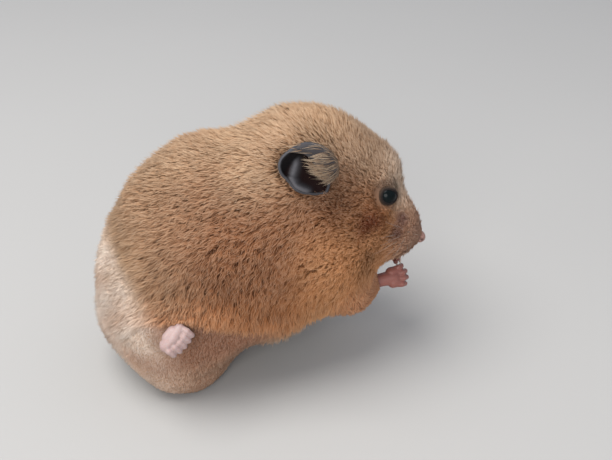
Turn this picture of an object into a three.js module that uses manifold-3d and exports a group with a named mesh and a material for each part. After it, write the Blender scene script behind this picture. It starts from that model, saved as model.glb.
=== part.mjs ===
// A life-size Syrian hamster that sits hunched on its rump, with bowed head and raised forepaws.
// Millimetres. +X runs from rump to nose, +Y to the animal's left and +Z up; the floor is z = 0.
// Every solid reaches out to the tips of the coat. The body is one rounded form, parted with
// thin cuts into head, neck, trunk and legs; paws, tail, ears, eyes and nose are set on it.
import * as THREE from "three";
import { mergeVertices } from "three/addons/utils/BufferGeometryUtils.js";
import Module from "manifold-3d";

const wasm = await Module();
wasm.setup();

// ---------- driving dimensions ----------
const GAP = 0.3; // clearance between neighbouring solids
const BACK_HEIGHT = 84; // of the nape, the highest place
const RUMP_WIDTH = 68;
const CHEST_WIDTH = 54;
const HEAD_LENGTH = 42; // from nape to nose
const HEAD_WIDTH = 33; // over the cheeks
const HEAD_PITCH = 24; // degrees that the nose points down
const HEAD_YAW = -20; // degrees that it points to the left
const HEAD_ROLL = 16; // degrees that the right cheek is tipped up
const HEAD_CENTRE = [25.2, -0.4, 53.3];
const EYE_RADIUS = 3.1;
const EYE_DEPTH = 1.7; // of the eyeball's centre under the coat
const EAR_LENGTH = 18;
const EAR_WIDTH = 16;
const EAR_CUP = 4.5; // how deep the ear is hollowed
const EAR_THICKNESS = 1.1;
const EAR_LIFT = 3; // of the cup over the head, on its short stalk
// How far the outline over the back and the crown rises or dips, by x: the nape stands clear of
// the back behind a saddle.
const BACK_LINE = [
  [-46, 0], [-40, 1], [-34, 2.2], [-28, 3], [-23, 1.6], [-18, -1.4], [-14, -4], [-9, -5.2], [-5, -3.8], [0, -1.4],
  [5, -0.4], [10, 0.9], [15, 2.2], [20, 2.4], [25, 0.7], [29, -1.2], [33, -1.9], [38, -0.8], [42, 0],
];
const NOSE_HALF = [2.3, 2.1, 1.9]; // half its length, width and height
const TAIL_LENGTH = 8;
const HIND_TOE_LENGTH = 4.6;
const FORE_TOE_LENGTH = 3.8;

// Facet sizes, from the broad trunk down to the toes.
const TRUNK_CELL = 7.8;
const NECK_CELL = 6.8;
const THIGH_CELL = 5.8;
const HEAD_CELL = 4;
const ARM_CELL = 4.2;
const PAW_CELL = 2.3;
const TAIL_CELL = 1.8;

// ---------- small helpers ----------
const DEGREE = Math.PI / 180;
const SIDES = [[1, "left"], [-1, "right"]]; // +Y is the left side
const vec = (p) => new THREE.Vector3(p[0], p[1], p[2]);
const sided = (p, side) => [p[0], side * p[1], p[2]];
const bigger = (half, by) => half.map((v) => v + by);
const along = (from, direction, by) => vec(from).addScaledVector(vec(direction).normalize(), by).toArray();

// A turn by pitch (nose down), yaw (to the left) and roll (left side up), in degrees.
const turning = ([pitch, yaw, roll]) =>
  new THREE.Matrix4().makeRotationFromEuler(
    new THREE.Euler(roll * DEGREE, pitch * DEGREE, yaw * DEGREE, "ZYX"),
  );
const pointing = (way) =>
  new THREE.Quaternion().setFromUnitVectors(new THREE.Vector3(0, 1, 0), vec(way).normalize());

// ---------- distance fields ----------
// A field is a function of (x, y, z): negative inside the form and positive outside, in millimetres.

function ellipsoid(centre, half, turn = [0, 0, 0]) {
  const back = turning(turn).transpose().elements;
  return (x, y, z) => {
    const px = x - centre[0];
    const py = y - centre[1];
    const pz = z - centre[2];
    const a = (back[0] * px + back[4] * py + back[8] * pz) / half[0];
    const b = (back[1] * px + back[5] * py + back[9] * pz) / half[1];
    const c = (back[2] * px + back[6] * py + back[10] * pz) / half[2];
    const near = Math.hypot(a, b, c);
    const slope = Math.hypot(a / half[0], b / half[1], c / half[2]);
    return slope < 1e-9 ? -Math.min(...half) : (near * (near - 1)) / slope;
  };
}

// A round limb from one point to another, whose radius changes evenly along it.
function limb(from, to, radiusFrom, radiusTo) {
  const run = vec(to).sub(vec(from));
  const length2 = run.lengthSq();
  return (x, y, z) => {
    const px = x - from[0];
    const py = y - from[1];
    const pz = z - from[2];
    const t = Math.min(1, Math.max(0, (px * run.x + py * run.y + pz * run.z) / length2));
    const away = Math.hypot(px - run.x * t, py - run.y * t, pz - run.z * t);
    return away - radiusFrom - (radiusTo - radiusFrom) * t;
  };
}

// Several forms that flow into each other over a fillet of the given size.
function blend(size, ...fields) {
  return (x, y, z) => {
    let d = fields[0](x, y, z);
    for (const field of fields.slice(1)) {
      const other = field(x, y, z);
      const mix = Math.max(size - Math.abs(d - other), 0) / size;
      d = Math.min(d, other) - (mix * mix * size) / 4;
    }
    return d;
  };
}

const grown = (field, by) => (x, y, z) => field(x, y, z) - by;

// How fast a field grows along x, y and z.
function slopeAt(field, p) {
  const step = 0.01;
  const here = field(p.x, p.y, p.z);
  return new THREE.Vector3(
    field(p.x + step, p.y, p.z) - here,
    field(p.x, p.y + step, p.z) - here,
    field(p.x, p.y, p.z + step) - here,
  ).divideScalar(step);
}

// Where a ray from inside a form meets its surface, and then straight in by the given depth.
function under(field, from, direction, depth) {
  let near = 0;
  let far = 60;
  while (far - near > 1e-6) {
    const middle = (near + far) / 2;
    if (field(...along(from, direction, middle)) < 0) near = middle;
    else far = middle;
  }
  const surface = vec(along(from, direction, near));
  return surface.addScaledVector(slopeAt(field, surface).normalize(), -depth).toArray();
}

// ---------- from a field to a closed mesh ----------

// Slides a point onto the field's zero surface, by at most half a cell.
function settled(field, start, cell) {
  const point = start.clone();
  for (let round = 0; round < 3; round++) {
    const slope = slopeAt(field, point);
    const d = field(point.x, point.y, point.z);
    point.addScaledVector(slope, -d / Math.max(slope.lengthSq(), 0.2));
  }
  return point.sub(start).clampLength(0, cell / 2).add(start);
}

const AXES = [[1, 0, 0], [0, 1, 0], [0, 0, 1]];
const CORNERS = [0, 1, 2, 3, 4, 5, 6, 7].map((n) => [n & 1, (n >> 1) & 1, n >> 2]);
const CELL_EDGES = CORNERS.flatMap((_, a) => [1, 2, 4].filter((bit) => !(a & bit)).map((bit) => [a, a | bit]));

// One vertex in each grid cell that the surface crosses, and one quad round each crossed grid edge.
// The form is closed off where it would leave the box from low to high.
function skinOf(field, low, high, cell) {
  const count = low.map((v, i) => Math.ceil((high[i] - v) / cell) + 1);
  const [nx, ny, nz] = count;
  const at = (i, j, k) => (k * ny + j) * nx + i;
  const value = new Float64Array(nx * ny * nz);
  const eachCell = (ends, visit) => {
    for (let k = 0; k < nz - ends; k++) {
      for (let j = 0; j < ny - ends; j++) {
        for (let i = 0; i < nx - ends; i++) visit(i, j, k);
      }
    }
  };
  eachCell(0, (i, j, k) => {
    const rim = [i, j, k].some((v, axis) => v === 0 || v === count[axis] - 1);
    const d = field(low[0] + i * cell, low[1] + j * cell, low[2] + k * cell);
    value[at(i, j, k)] = rim ? Math.max(d, cell / 2) : d;
  });

  const points = [];
  const pointOf = new Map();
  eachCell(1, (i, j, k) => {
    const v = CORNERS.map(([a, b, c]) => value[at(i + a, j + b, k + c)]);
    const crossed = CELL_EDGES.filter(([a, b]) => v[a] < 0 !== v[b] < 0);
    if (!crossed.length) return;
    const sum = new THREE.Vector3();
    for (const [a, b] of crossed) {
      sum.add(vec(CORNERS[a]).lerp(vec(CORNERS[b]), v[a] / (v[a] - v[b])));
    }
    sum.divideScalar(crossed.length).add(vec([i, j, k])).multiplyScalar(cell).add(vec(low));
    pointOf.set(at(i, j, k), points.length);
    points.push(settled(field, sum, cell));
  });

  const faces = [];
  eachCell(1, (i, j, k) => {
    const inside = value[at(i, j, k)] < 0;
    AXES.forEach((s, axis) => {
      if (inside === value[at(i + s[0], j + s[1], k + s[2])] < 0) return;
      const u = AXES[(axis + 1) % 3];
      const w = AXES[(axis + 2) % 3];
      const ring = [[0, 0], [1, 0], [1, 1], [0, 1]].map(([a, b]) =>
        pointOf.get(at(i - a * u[0] - b * w[0], j - a * u[1] - b * w[1], k - a * u[2] - b * w[2])),
      );
      const [p, q, r, t] = inside ? ring : ring.reverse();
      const shortWay = points[p].distanceTo(points[r]) < points[q].distanceTo(points[t]);
      faces.push(...(shortWay ? [p, q, r, p, r, t] : [p, q, t, q, r, t]));
    });
  });
  const geometry = new THREE.BufferGeometry();
  geometry.setAttribute("position", new THREE.Float32BufferAttribute(points.flatMap((p) => p.toArray()), 3));
  return geometry.setIndex(faces);
}

// ---------- solids ----------
function solid(geometry) {
  geometry.deleteAttribute("normal");
  geometry.deleteAttribute("uv");
  const merged = mergeVertices(geometry, 1e-4);
  return new wasm.Manifold(
    new wasm.Mesh({
      numProp: 3,
      vertProperties: new Float32Array(merged.attributes.position.array),
      triVerts: new Uint32Array(merged.index.array),
    }),
  );
}

const fieldSolid = (field, low, high, cell) => solid(skinOf(field, low, high, cell));

function geometryOf(manifold) {
  const mesh = manifold.getMesh();
  const geometry = new THREE.BufferGeometry();
  geometry.setAttribute("position", new THREE.BufferAttribute(mesh.vertProperties, 3));
  geometry.setIndex(new THREE.BufferAttribute(mesh.triVerts, 1));
  geometry.computeVertexNormals();
  return geometry;
}

// Everything beyond a plane, on the side that its normal points to.
function beyond(point, normal) {
  const size = 300;
  const block = new THREE.BoxGeometry(size, size, size).translate(0, size / 2, 0);
  return solid(block.applyQuaternion(pointing(normal)).translate(...point));
}

function ball(centre, half, turn, rings) {
  const sphere = new THREE.SphereGeometry(1, 2 * rings, rings).scale(...half);
  return solid(sphere.applyMatrix4(turning(turn)).translate(...centre));
}

// A rounded rod between two points, with few facets.
function rod(from, to, radius, facets = 4) {
  const run = vec(to).sub(vec(from));
  const capsule = new THREE.CapsuleGeometry(radius, run.length(), 1, facets);
  const middle = vec(from).lerp(vec(to), 0.5).toArray();
  return solid(capsule.applyQuaternion(pointing(run.toArray())).translate(...middle));
}

// ---------- the head's own frame ----------
// +X to the nose, +Y to the left ear and +Z to the crown, from the middle of the skull.
const HEAD_TURN = [HEAD_PITCH, HEAD_YAW, -HEAD_ROLL];
const headSpin = turning(HEAD_TURN);
const onHead = (p) => vec(p).applyMatrix4(headSpin).add(vec(HEAD_CENTRE)).toArray();
const alongHead = (p) => vec(p).applyMatrix4(headSpin).toArray();
const headBall = (centre, half) => ellipsoid(onHead(centre), half, HEAD_TURN);

const NOSE_TIP = [HEAD_LENGTH * 0.54, 0, -4];
const EYE_LINE = [5.2, 2, 4.8]; // a point inside the head, level with the left eye
const EYE_WAY = [0.25, 1, 0.12]; // from there out through the eye
const EAR_LINE = [-14.5, 2, 2.2];
const EAR_WAY = [0, 1, 0.1];
const EAR_TIP_WAY = [-0.76, 0.5, 0.42]; // from the left ear's root to its tip
const EAR_OPEN_WAY = [0.4, 0.92, -0.1]; // the way its hollow faces

const crown = headBall([-5, 0, 4], [HEAD_LENGTH * 0.39, HEAD_WIDTH * 0.48, 15.5]);
const cheek = (side) => headBall([0, side * 8, -5], [13, HEAD_WIDTH * 0.27, 11]);
const bridge = headBall([11, 0, -2.5], [10.5, 8, 8.5]);
const whiskerPad = (side) => headBall([NOSE_TIP[0] - 6, side * 3, -6], [5.5, 4.3, 5.5]);
const chin = headBall([11, 0, -10], [9, 5.5, 5]);
const headField = blend(5, crown, cheek(1), cheek(-1), bridge, whiskerPad(1), whiskerPad(-1), chin);

// ---------- the body's form ----------
const rump = ellipsoid([-21.5, 0, 34], [34, RUMP_WIDTH / 2 - 1, 34]);
const nape = ellipsoid([0, 0, 52], [30, CHEST_WIDTH / 2 - 4, BACK_HEIGHT - 53], [8, 0, 0]);
const belly = ellipsoid([-3, 0, 37], [31, CHEST_WIDTH / 2 + 1, 22.5], [-18, 0, 0]);
const chest = ellipsoid([9, 0, 44], [18, CHEST_WIDTH / 2 - 5, 21]);
const trunkField = blend(12, rump, nape, belly, chest);

const seat = ellipsoid([-33, 0, 19], [24, 28, 20]);
const leftHaunch = ellipsoid([-25, 17, 25], [22, 16, 22], [-12, 0, 0]);
const rightHaunch = ellipsoid([-29, -17, 25], [18.5, 16, 21], [-12, 0, 0]);
const rightThigh = ellipsoid([-31, -16, 10], [13, 13.5, 11.5]);
const leftShank = limb([-14, 19, 13], [-1, 17.5, 4.5], 8, 4.5);

const SHOULDER = [14, 16, 38];
const ELBOW = [21, 13, 25];
const WRIST = [31, 8.5, 24.5];
const FOREPAW = [35.5, 7, 25.5];
const arm = (side) => {
  const [shoulder, elbow, wrist] = [SHOULDER, ELBOW, WRIST].map((p) => sided(p, side));
  return blend(5, limb(shoulder, elbow, 9, 6), limb(elbow, wrist, 5.5, 2.7));
};

const evenBody = blend(
  7, trunkField, seat, leftHaunch, rightHaunch, rightThigh, leftShank, arm(1), arm(-1), headField,
);
function backLineAt(x) {
  const next = BACK_LINE.findIndex(([at]) => at > x);
  if (next < 1) return 0;
  const [[x0, rise0], [x1, rise1]] = [BACK_LINE[next - 1], BACK_LINE[next]];
  return rise0 + ((rise1 - rise0) * (x - x0)) / (x1 - x0);
}
const { smoothstep } = THREE.MathUtils;
const bodyField = (x, y, z) => evenBody(x, y, z - backLineAt(x) * smoothstep(z, 50, 64) * smoothstep(y, -16, 2));
const BODY_LOW = [-70, -45, -12];
const BODY_HIGH = [70, 45, 92];
const rearBox = (side) => [[-60, side > 0 ? 0 : -45, -12], [12, side > 0 ? 45 : 0, 60]];
const frontBox = (side) => [[-4, side > 0 ? 0 : -45, 5], [48, side > 0 ? 45 : 0, 60]];
const headBox = [[-10, -45, 0], BODY_HIGH];
const neckBox = [[-22, -45, 0], BODY_HIGH];

// ---------- parting the body ----------
// Each cutting form leaves one part inside it, and the rest keeps clear of it by the gap.
const HEAD_CUT = [5, 0, 76];
const NECK_CUT = [-5, 0, 76];
const FORWARD = [0.93, 0, 0.38]; // square to the neck
const BACKWARD = FORWARD.map((v) => -v);
const CUT_RINGS = 8;

const thighCut = (side, by) => {
  const thigh = ball([-24, side * 34, 19], bigger([25, 17, 23], by), [-12, 0, 0], CUT_RINGS);
  const shank = ball([-8, 21, 5], bigger([14, 10, 11], by), [0, 0, 0], CUT_RINGS);
  return side < 0 ? thigh : thigh.add(shank);
};
const armCut = (side, by) => {
  const upper = ball([17, side * 20, 34], bigger([12, 14, 17], by), [-20, 0, 0], CUT_RINGS);
  return upper.add(ball([29, side * 10, 25], bigger([10, 8, 7], by), [0, 0, 0], CUT_RINGS));
};
const clearOfArms = (part) => part.subtract(armCut(1, GAP)).subtract(armCut(-1, GAP));
const clearOfThighs = (part) => part.subtract(thighCut(1, GAP)).subtract(thighCut(-1, GAP));
const overFloor = (part) => part.intersect(beyond([0, 0, 0], [0, 0, 1]));

const trunk = () => {
  const whole = overFloor(fieldSolid(bodyField, BODY_LOW, BODY_HIGH, TRUNK_CELL));
  return clearOfThighs(clearOfArms(whole)).intersect(beyond(along(NECK_CUT, BACKWARD, GAP), BACKWARD));
};
const neck = () =>
  clearOfArms(fieldSolid(bodyField, ...neckBox, NECK_CELL))
    .intersect(beyond(NECK_CUT, FORWARD))
    .intersect(beyond(along(HEAD_CUT, BACKWARD, GAP), BACKWARD));
const hindLeg = (side) =>
  overFloor(fieldSolid(bodyField, ...rearBox(side), THIGH_CELL)).intersect(thighCut(side, 0));
const foreLeg = (side) => fieldSolid(bodyField, ...frontBox(side), ARM_CELL).intersect(armCut(side, 0));

// ---------- eyes, nose and the head round them ----------
const eyeCentre = (side) =>
  under(bodyField, onHead(sided(EYE_LINE, side)), alongHead(sided(EYE_WAY, side)), EYE_DEPTH);
const eyeball = (side, by) => {
  const radius = EYE_RADIUS + by;
  return ball(eyeCentre(side), [radius, radius, radius], [0, 0, 0], 6);
};
const noseTip = (by) => ball(onHead(NOSE_TIP), bigger(NOSE_HALF, by), HEAD_TURN, 5);
const head = () =>
  clearOfArms(fieldSolid(bodyField, ...headBox, HEAD_CELL))
    .intersect(beyond(HEAD_CUT, FORWARD))
    .subtract(eyeball(1, GAP))
    .subtract(eyeball(-1, GAP))
    .subtract(noseTip(GAP));

// ---------- ears ----------
// A flattened ball bent into a cup: its rim is the ear's outline, and a short stalk carries it.
function ear(side) {
  const root = under(bodyField, onHead(sided(EAR_LINE, side)), alongHead(sided(EAR_WAY, side)), 1);
  const up = vec(alongHead(sided(EAR_TIP_WAY, side))).normalize();
  const open = vec(alongHead(sided(EAR_OPEN_WAY, side)));
  open.addScaledVector(up, -open.dot(up)).normalize();
  const across = new THREE.Vector3().crossVectors(open, up);
  const put = (u, v, w) =>
    vec(root).addScaledVector(up, u).addScaledVector(across, v).addScaledVector(open, w);

  const cup = new THREE.SphereGeometry(1, 16, 8).rotateX(Math.PI / 2);
  const place = cup.attributes.position;
  for (let i = 0; i < place.count; i++) {
    const p = new THREE.Vector3().fromBufferAttribute(place, i);
    const reach = Math.acos(Math.min(1, Math.abs(p.z))) / (Math.PI / 2); // 0 at the middle, 1 at the rim
    const angle = Math.atan2(p.y, p.x);
    const halfWidth = (EAR_WIDTH / 2) * (1 - 0.12 * Math.cos(angle));
    const u = EAR_LENGTH * (0.4 + 0.5 * reach * Math.cos(angle));
    const v = halfWidth * reach * Math.sin(angle);
    const hollow = EAR_LIFT + EAR_CUP * (reach ** 2.2 - 0.6);
    const thick = (EAR_THICKNESS / 2) * Math.sqrt(Math.max(0, 1 - reach ** 6));
    place.setXYZ(i, ...put(u, v, hollow + Math.sign(p.z) * thick).toArray());
  }
  const stalk = rod(put(0, 0, -3).toArray(), put(2, 0, EAR_LIFT - 1).toArray(), 3, 7);
  return solid(cup).add(stalk).subtract(fieldSolid(grown(bodyField, GAP), ...headBox, HEAD_CELL));
}

// ---------- paws ----------
function claw(tip, way, radius, length) {
  const cone = new THREE.ConeGeometry(radius, length, 4).translate(0, length / 2 - radius, 0);
  return solid(cone.applyQuaternion(pointing(way)).translate(...tip));
}

// A paw in its own frame: +X to the toes and +Z to the back of the paw. Each toe bends at a
// knuckle, the toes fan out from the ball, and a curl of 1 bends them well under the palm.
function paw({ palm, toes, toeRadius, toeLength, fan, clawLength, curl, at, toward, back }) {
  const x = vec(toward).normalize();
  const z = vec(back).addScaledVector(x, -vec(back).dot(x)).normalize();
  const y = new THREE.Vector3().crossVectors(z, x);
  const put = (a, b, c) =>
    vec(at).addScaledVector(x, a).addScaledVector(y, b).addScaledVector(z, c).toArray();
  const pads = blend(2, ...palm.map(([from, to, r1, r2]) => limb(put(...from), put(...to), r1, r2)));
  const reach = 16;
  const box = [at.map((v) => v - reach), at.map((v) => v + reach)];
  return toes.reduce((made, [across, ahead]) => {
    const slant = fan * across;
    const knuckle = put(ahead + toeLength * 0.5, across + slant * 0.5, 0.5 * curl);
    const tip = put(ahead + toeLength * (1 - 0.3 * curl), across + slant, -0.3 - toeLength * 0.5 * curl);
    const way = vec(tip).sub(vec(knuckle)).toArray();
    return made
      .add(rod(put(ahead - 1, across * 0.9, 0), knuckle, toeRadius))
      .add(rod(knuckle, tip, toeRadius * 0.9))
      .add(claw(along(tip, way, toeRadius * 0.7), way, toeRadius * 0.45, clawLength));
  }, fieldSolid(pads, ...box, PAW_CELL));
}

const hindPaw = (pose) =>
  paw({
    palm: [
      [[-9, 0, 0], [0, 0, 0], 2.2, 2.5],
      [[0, -1.7, 0], [3, -2.3, 0], 2, 1.7],
      [[0, 1.7, 0], [3, 2.3, 0], 2, 1.7],
    ],
    toes: [[-3.6, 2.2], [-1.8, 3.8], [0, 4.2], [1.8, 3.8], [3.6, 2.2]],
    toeRadius: 0.95,
    toeLength: HIND_TOE_LENGTH,
    fan: 0.25,
    clawLength: 1.8,
    ...pose,
  });
const forePaw = (side) =>
  paw({
    palm: [
      [[-3.5, 0, 0], [0, 0, 0], 1.9, 2],
      [[0, -1.3, 0], [1.2, -1.6, 0], 1.7, 1.4],
      [[0, 1.3, 0], [1.2, 1.6, 0], 1.7, 1.4],
    ],
    toes: [[-2.4, 1], [-0.8, 1.9], [0.8, 1.9], [2.4, 1]],
    toeRadius: 0.75,
    toeLength: FORE_TOE_LENGTH,
    fan: 0.3,
    clawLength: 1.4,
    curl: 0.7,
    at: sided(FOREPAW, side),
    toward: [0.95, -0.1 * side, 0.1],
    back: [0.1, 0.85 * side, 0.5],
  });
const FLAT_FOOT = { at: [8, 17, 2.6], toward: [1, 0.1, 0], back: [0, 0, 1], curl: 0.3 };
const RAISED_FOOT = { at: [-35, -34.5, 31], toward: [0.3, -0.85, -0.42], back: [-0.61, -0.5, 0.58], curl: 1 };

// The body with room for coarse facets round it: what is set on the body starts outside this.
const PAW_GAP = GAP + 0.6;
const bodyRoom = (box, cell) => fieldSolid(grown(bodyField, PAW_GAP), ...box, cell);

// ---------- tail: a short stub, mostly hidden ----------
const TAIL_ROOT = [-47, 5, 8];
const TAIL_TIP = [TAIL_ROOT[0] - TAIL_LENGTH, 7, 3];
const tail = () => {
  const stub = fieldSolid(limb(TAIL_ROOT, TAIL_TIP, 2.8, 1.6), [-62, -5, -2], [-40, 15, 15], TAIL_CELL);
  return overFloor(stub.subtract(bodyRoom([BODY_LOW, BODY_HIGH], TRUNK_CELL)));
};

// ---------- materials ----------
const coat = () => new THREE.MeshStandardMaterial({ color: 0xb68a66, roughness: 0.9 });
const bareSkin = () => new THREE.MeshStandardMaterial({ color: 0xd3a79f, roughness: 0.6 });
const earSkin = () => new THREE.MeshStandardMaterial({ color: 0x4a3a38, roughness: 0.65 });
const wetBlack = () => new THREE.MeshStandardMaterial({ color: 0x0b0a0a, roughness: 0.08 });
const noseSkin = () => new THREE.MeshStandardMaterial({ color: 0xb08078, roughness: 0.5 });

// ---------- the scene graph ----------
const hamster = new THREE.Group();
function add(name, manifold, material) {
  const mesh = new THREE.Mesh(geometryOf(manifold), material);
  mesh.name = name;
  hamster.add(mesh);
}

add("head", head(), coat());
add("neck", neck(), coat());
add("trunk", trunk(), coat());
add("tail", tail(), bareSkin());
add("nose", noseTip(0), noseSkin());
for (const [side, name] of SIDES) {
  const footPose = side > 0 ? FLAT_FOOT : RAISED_FOOT;
  add("ear_" + name, ear(side), earSkin());
  add("eye_" + name, eyeball(side, 0), wetBlack());
  add("foreleg_" + name, foreLeg(side), coat());
  add("forepaw_" + name, forePaw(side).subtract(bodyRoom(frontBox(side), ARM_CELL)), bareSkin());
  add("hindleg_" + name, hindLeg(side), coat());
  add("hindpaw_" + name, overFloor(hindPaw(footPose).subtract(bodyRoom(rearBox(side), THIGH_CELL))), bareSkin());
}

// The group is slid sideways so that the animal stands centred over the origin.
const bounds = new THREE.Box3().setFromObject(hamster);
const middle = bounds.getCenter(new THREE.Vector3());
hamster.position.set(-middle.x, -middle.y, 0);

export default hamster;
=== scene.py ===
# %% [markdown]
# # A Syrian hamster, from skin to coat
# A museum model of a small furry animal is made from the inside out, and this script does the
# same. First comes one smooth skin, then the bare pieces that show through the coat (paws, ears,
# nose, eyes), and last the coat, which is thousands of small tufts combed over the skin.
# The measured solids are loaded first. They reach out to the tips of the coat, so they say where
# everything has to end.

# %% Load the measured solids
import math

import bmesh
import bpy
import numpy as np
from mathutils import Matrix, Vector
from mathutils.bvhtree import BVHTree


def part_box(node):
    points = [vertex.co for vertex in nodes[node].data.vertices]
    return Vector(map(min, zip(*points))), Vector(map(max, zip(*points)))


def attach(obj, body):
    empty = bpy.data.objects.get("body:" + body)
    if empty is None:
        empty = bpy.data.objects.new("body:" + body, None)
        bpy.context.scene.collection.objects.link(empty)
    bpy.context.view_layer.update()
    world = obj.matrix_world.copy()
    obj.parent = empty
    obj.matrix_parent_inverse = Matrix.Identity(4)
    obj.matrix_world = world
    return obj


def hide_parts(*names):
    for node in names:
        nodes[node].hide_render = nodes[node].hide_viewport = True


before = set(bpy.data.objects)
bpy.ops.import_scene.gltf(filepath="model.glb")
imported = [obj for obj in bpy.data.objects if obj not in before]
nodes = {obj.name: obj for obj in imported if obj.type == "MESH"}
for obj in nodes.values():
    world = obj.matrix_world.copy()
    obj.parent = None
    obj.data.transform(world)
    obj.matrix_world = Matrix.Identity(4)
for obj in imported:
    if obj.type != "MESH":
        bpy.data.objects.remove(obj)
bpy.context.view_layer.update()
MM = 0.001
print("solids:", sorted(nodes))

# %% [markdown]
# The camera looks down on the animal's right side from about thirty centimetres, as a person
# does who holds a phone over it. The focal length of 54 mm gives the natural, slightly narrow
# view that keeps the nose from looking too large.

# %% Camera
camera_data = bpy.data.cameras.new("camera")
camera_data.lens = 54.1
camera = bpy.data.objects.new("camera", camera_data)
bpy.context.collection.objects.link(camera)
camera.location = Vector((-19.1, -241.0, 183.0)) * MM
camera.rotation_euler = Vector((0.1205, 0.8577, -0.5)).to_track_quat("-Z", "Y").to_euler()
bpy.context.scene.camera = camera
print("camera at", tuple(round(v, 3) for v in camera.location))

# %% [markdown]
# Fur looks best under a broad, soft light from above: each tuft then has a light side and a
# shaded root. A large lamp overhead does most of the work, a weaker one on the camera's side
# opens the shadows, and the pale surroundings fill in the rest.

# %% Floor and lights
def soft_lamp(name, place, aim, size, watts, tint):
    data = bpy.data.lights.new(name, "AREA")
    data.shape = "DISK"
    data.size = size
    data.energy = watts
    data.color = tint
    lamp = bpy.data.objects.new(name, data)
    bpy.context.collection.objects.link(lamp)
    lamp.location = place
    lamp.rotation_euler = (Vector(aim) - Vector(place)).to_track_quat("-Z", "Y").to_euler()
    return lamp


soft_lamp("lamp_above", (-0.35, -0.1, 0.95), (0, 0, 0.04), 0.8, 11.0, (1.0, 0.98, 0.95))
soft_lamp("lamp_camera_side", (-0.3, -0.95, 0.45), (0, 0, 0.04), 0.7, 7.2, (1.0, 0.97, 0.93))

world = bpy.data.worlds.new("pale_room")
world.use_nodes = True
world.node_tree.nodes["Background"].inputs["Color"].default_value = (0.86, 0.9, 1.0, 1)
world.node_tree.nodes["Background"].inputs["Strength"].default_value = 0.55
bpy.context.scene.world = world
bpy.context.scene.view_settings.view_transform = "Standard"

floor_mesh = bpy.data.meshes.new("floor")
floor_mesh.from_pydata([(-3, -3, 0), (3, -3, 0), (3, 3, 0), (-3, 3, 0)], [], [(0, 1, 2, 3)])
floor = bpy.data.objects.new("floor", floor_mesh)
bpy.context.collection.objects.link(floor)

# %% [markdown]
# Shaders and Geometry Nodes are both trees of small nodes, and written out by hand they are hard
# to read. This class wraps one output of a node, so that plain arithmetic such as `1 - mask`
# adds the Math nodes, and a Graph adds any other node from its type, settings and socket values.

# %% A short way to write node trees
def plug(tree, socket, value):
    if isinstance(value, Wire):
        tree.links.new(value.socket, socket)
    elif value is not None:
        socket.default_value = value


def socket_of(sockets, key):
    if isinstance(key, int):
        return sockets[key]
    return next(s for s in sockets if s.enabled and key in (s.identifier, s.name))


class Wire:
    """An output of a node, on which arithmetic adds Math nodes."""

    def __init__(self, tree, socket):
        self.tree = tree
        self.socket = socket

    def other(self, key):
        return Wire(self.tree, socket_of(self.socket.node.outputs, key))

    def maths(self, operation, *values):
        node = self.tree.nodes.new("ShaderNodeMath")
        node.operation = operation
        for socket, value in zip(node.inputs, values):
            plug(self.tree, socket, value)
        return Wire(self.tree, node.outputs[0])

    def __add__(self, other):
        return self.maths("ADD", self, other)

    def __sub__(self, other):
        return self.maths("SUBTRACT", self, other)

    def __rsub__(self, other):
        return self.maths("SUBTRACT", other, self)

    def __mul__(self, other):
        return self.maths("MULTIPLY", self, other)

    def __truediv__(self, other):
        return self.maths("DIVIDE", self, other)

    def __pow__(self, other):
        return self.maths("POWER", self, other)

    __radd__ = __add__
    __rmul__ = __mul__


class Graph:
    """A node tree that grows by calls: add() for any node, vector() and mix() for the commonest."""

    def __init__(self, tree):
        self.tree = tree

    def add(self, kind, settings=None, sockets=None, output=0):
        node = self.tree.nodes.new(kind)
        for key, value in (settings or {}).items():
            setattr(node, key, value)
        for key, value in (sockets or {}).items():
            plug(self.tree, socket_of(node.inputs, key), value)
        if not node.outputs:
            return node
        return Wire(self.tree, socket_of(node.outputs, output))

    def vector(self, operation, *values, scale=None):
        sockets = dict(enumerate(values))
        if scale is not None:
            sockets["Scale"] = scale
        return self.add("ShaderNodeVectorMath", {"operation": operation}, sockets)

    def mix(self, factor, first, second, blend="MIX"):
        settings = {"data_type": "RGBA", "blend_type": blend, "clamp_factor": True}
        sockets = {"Factor_Float": factor, "A_Color": first, "B_Color": second}
        return self.add("ShaderNodeMix", settings, sockets, "Result_Color")


def finish_material(name, tint, rough):
    """A new material, its graph and its Principled shader."""
    material = bpy.data.materials.new(name)
    material.use_nodes = True
    shader = material.node_tree.nodes["Principled BSDF"]
    shader.inputs["Base Color"].default_value = (*tint, 1)
    shader.inputs["Roughness"].default_value = rough
    return material, Graph(material.node_tree), shader


# %% [markdown]
# The floor gets the plainest of these materials, with only a trace of unevenness so that it
# doesn't look like paper cut out round the animal.

# %% Floor finish
floor_paint, graph, shader = finish_material("floor_paint", (0.42, 0.415, 0.405), 0.8)
place = graph.add("ShaderNodeTexCoord", output="Object")
grain = graph.add("ShaderNodeTexNoise", sockets={"Vector": place, "Scale": 6.0, "Detail": 3.0})
tone = graph.mix(grain, (0.41, 0.405, 0.395, 1), (0.43, 0.425, 0.415, 1))
plug(graph.tree, shader.inputs["Base Color"], tone)
floor.data.materials.append(floor_paint)
print("materials:", [m.name for m in bpy.data.materials])

# %% [markdown]
# Several pieces need places on the animal that the solids were built from, so the same named
# numbers are repeated here in millimetres. The head has a frame of its own: x runs to the nose,
# y to the left ear and z to the crown. `on_head` turns such a point into the model's frame.

# %% Places on the animal, in millimetres
SHIFT = np.array([6.0707, 2.8778, 0.0])
HEAD_CENTRE = np.array([25.2, -0.4, 53.3]) + SHIFT
HEAD_TURN = (24.0, -20.0, -16.0)


def turning(pitch, yaw, roll):
    turn = Matrix.Rotation(math.radians(yaw), 3, "Z") @ Matrix.Rotation(math.radians(pitch), 3, "Y")
    return np.array(turn @ Matrix.Rotation(math.radians(roll), 3, "X"))


HEAD_SPIN = turning(*HEAD_TURN)


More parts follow.
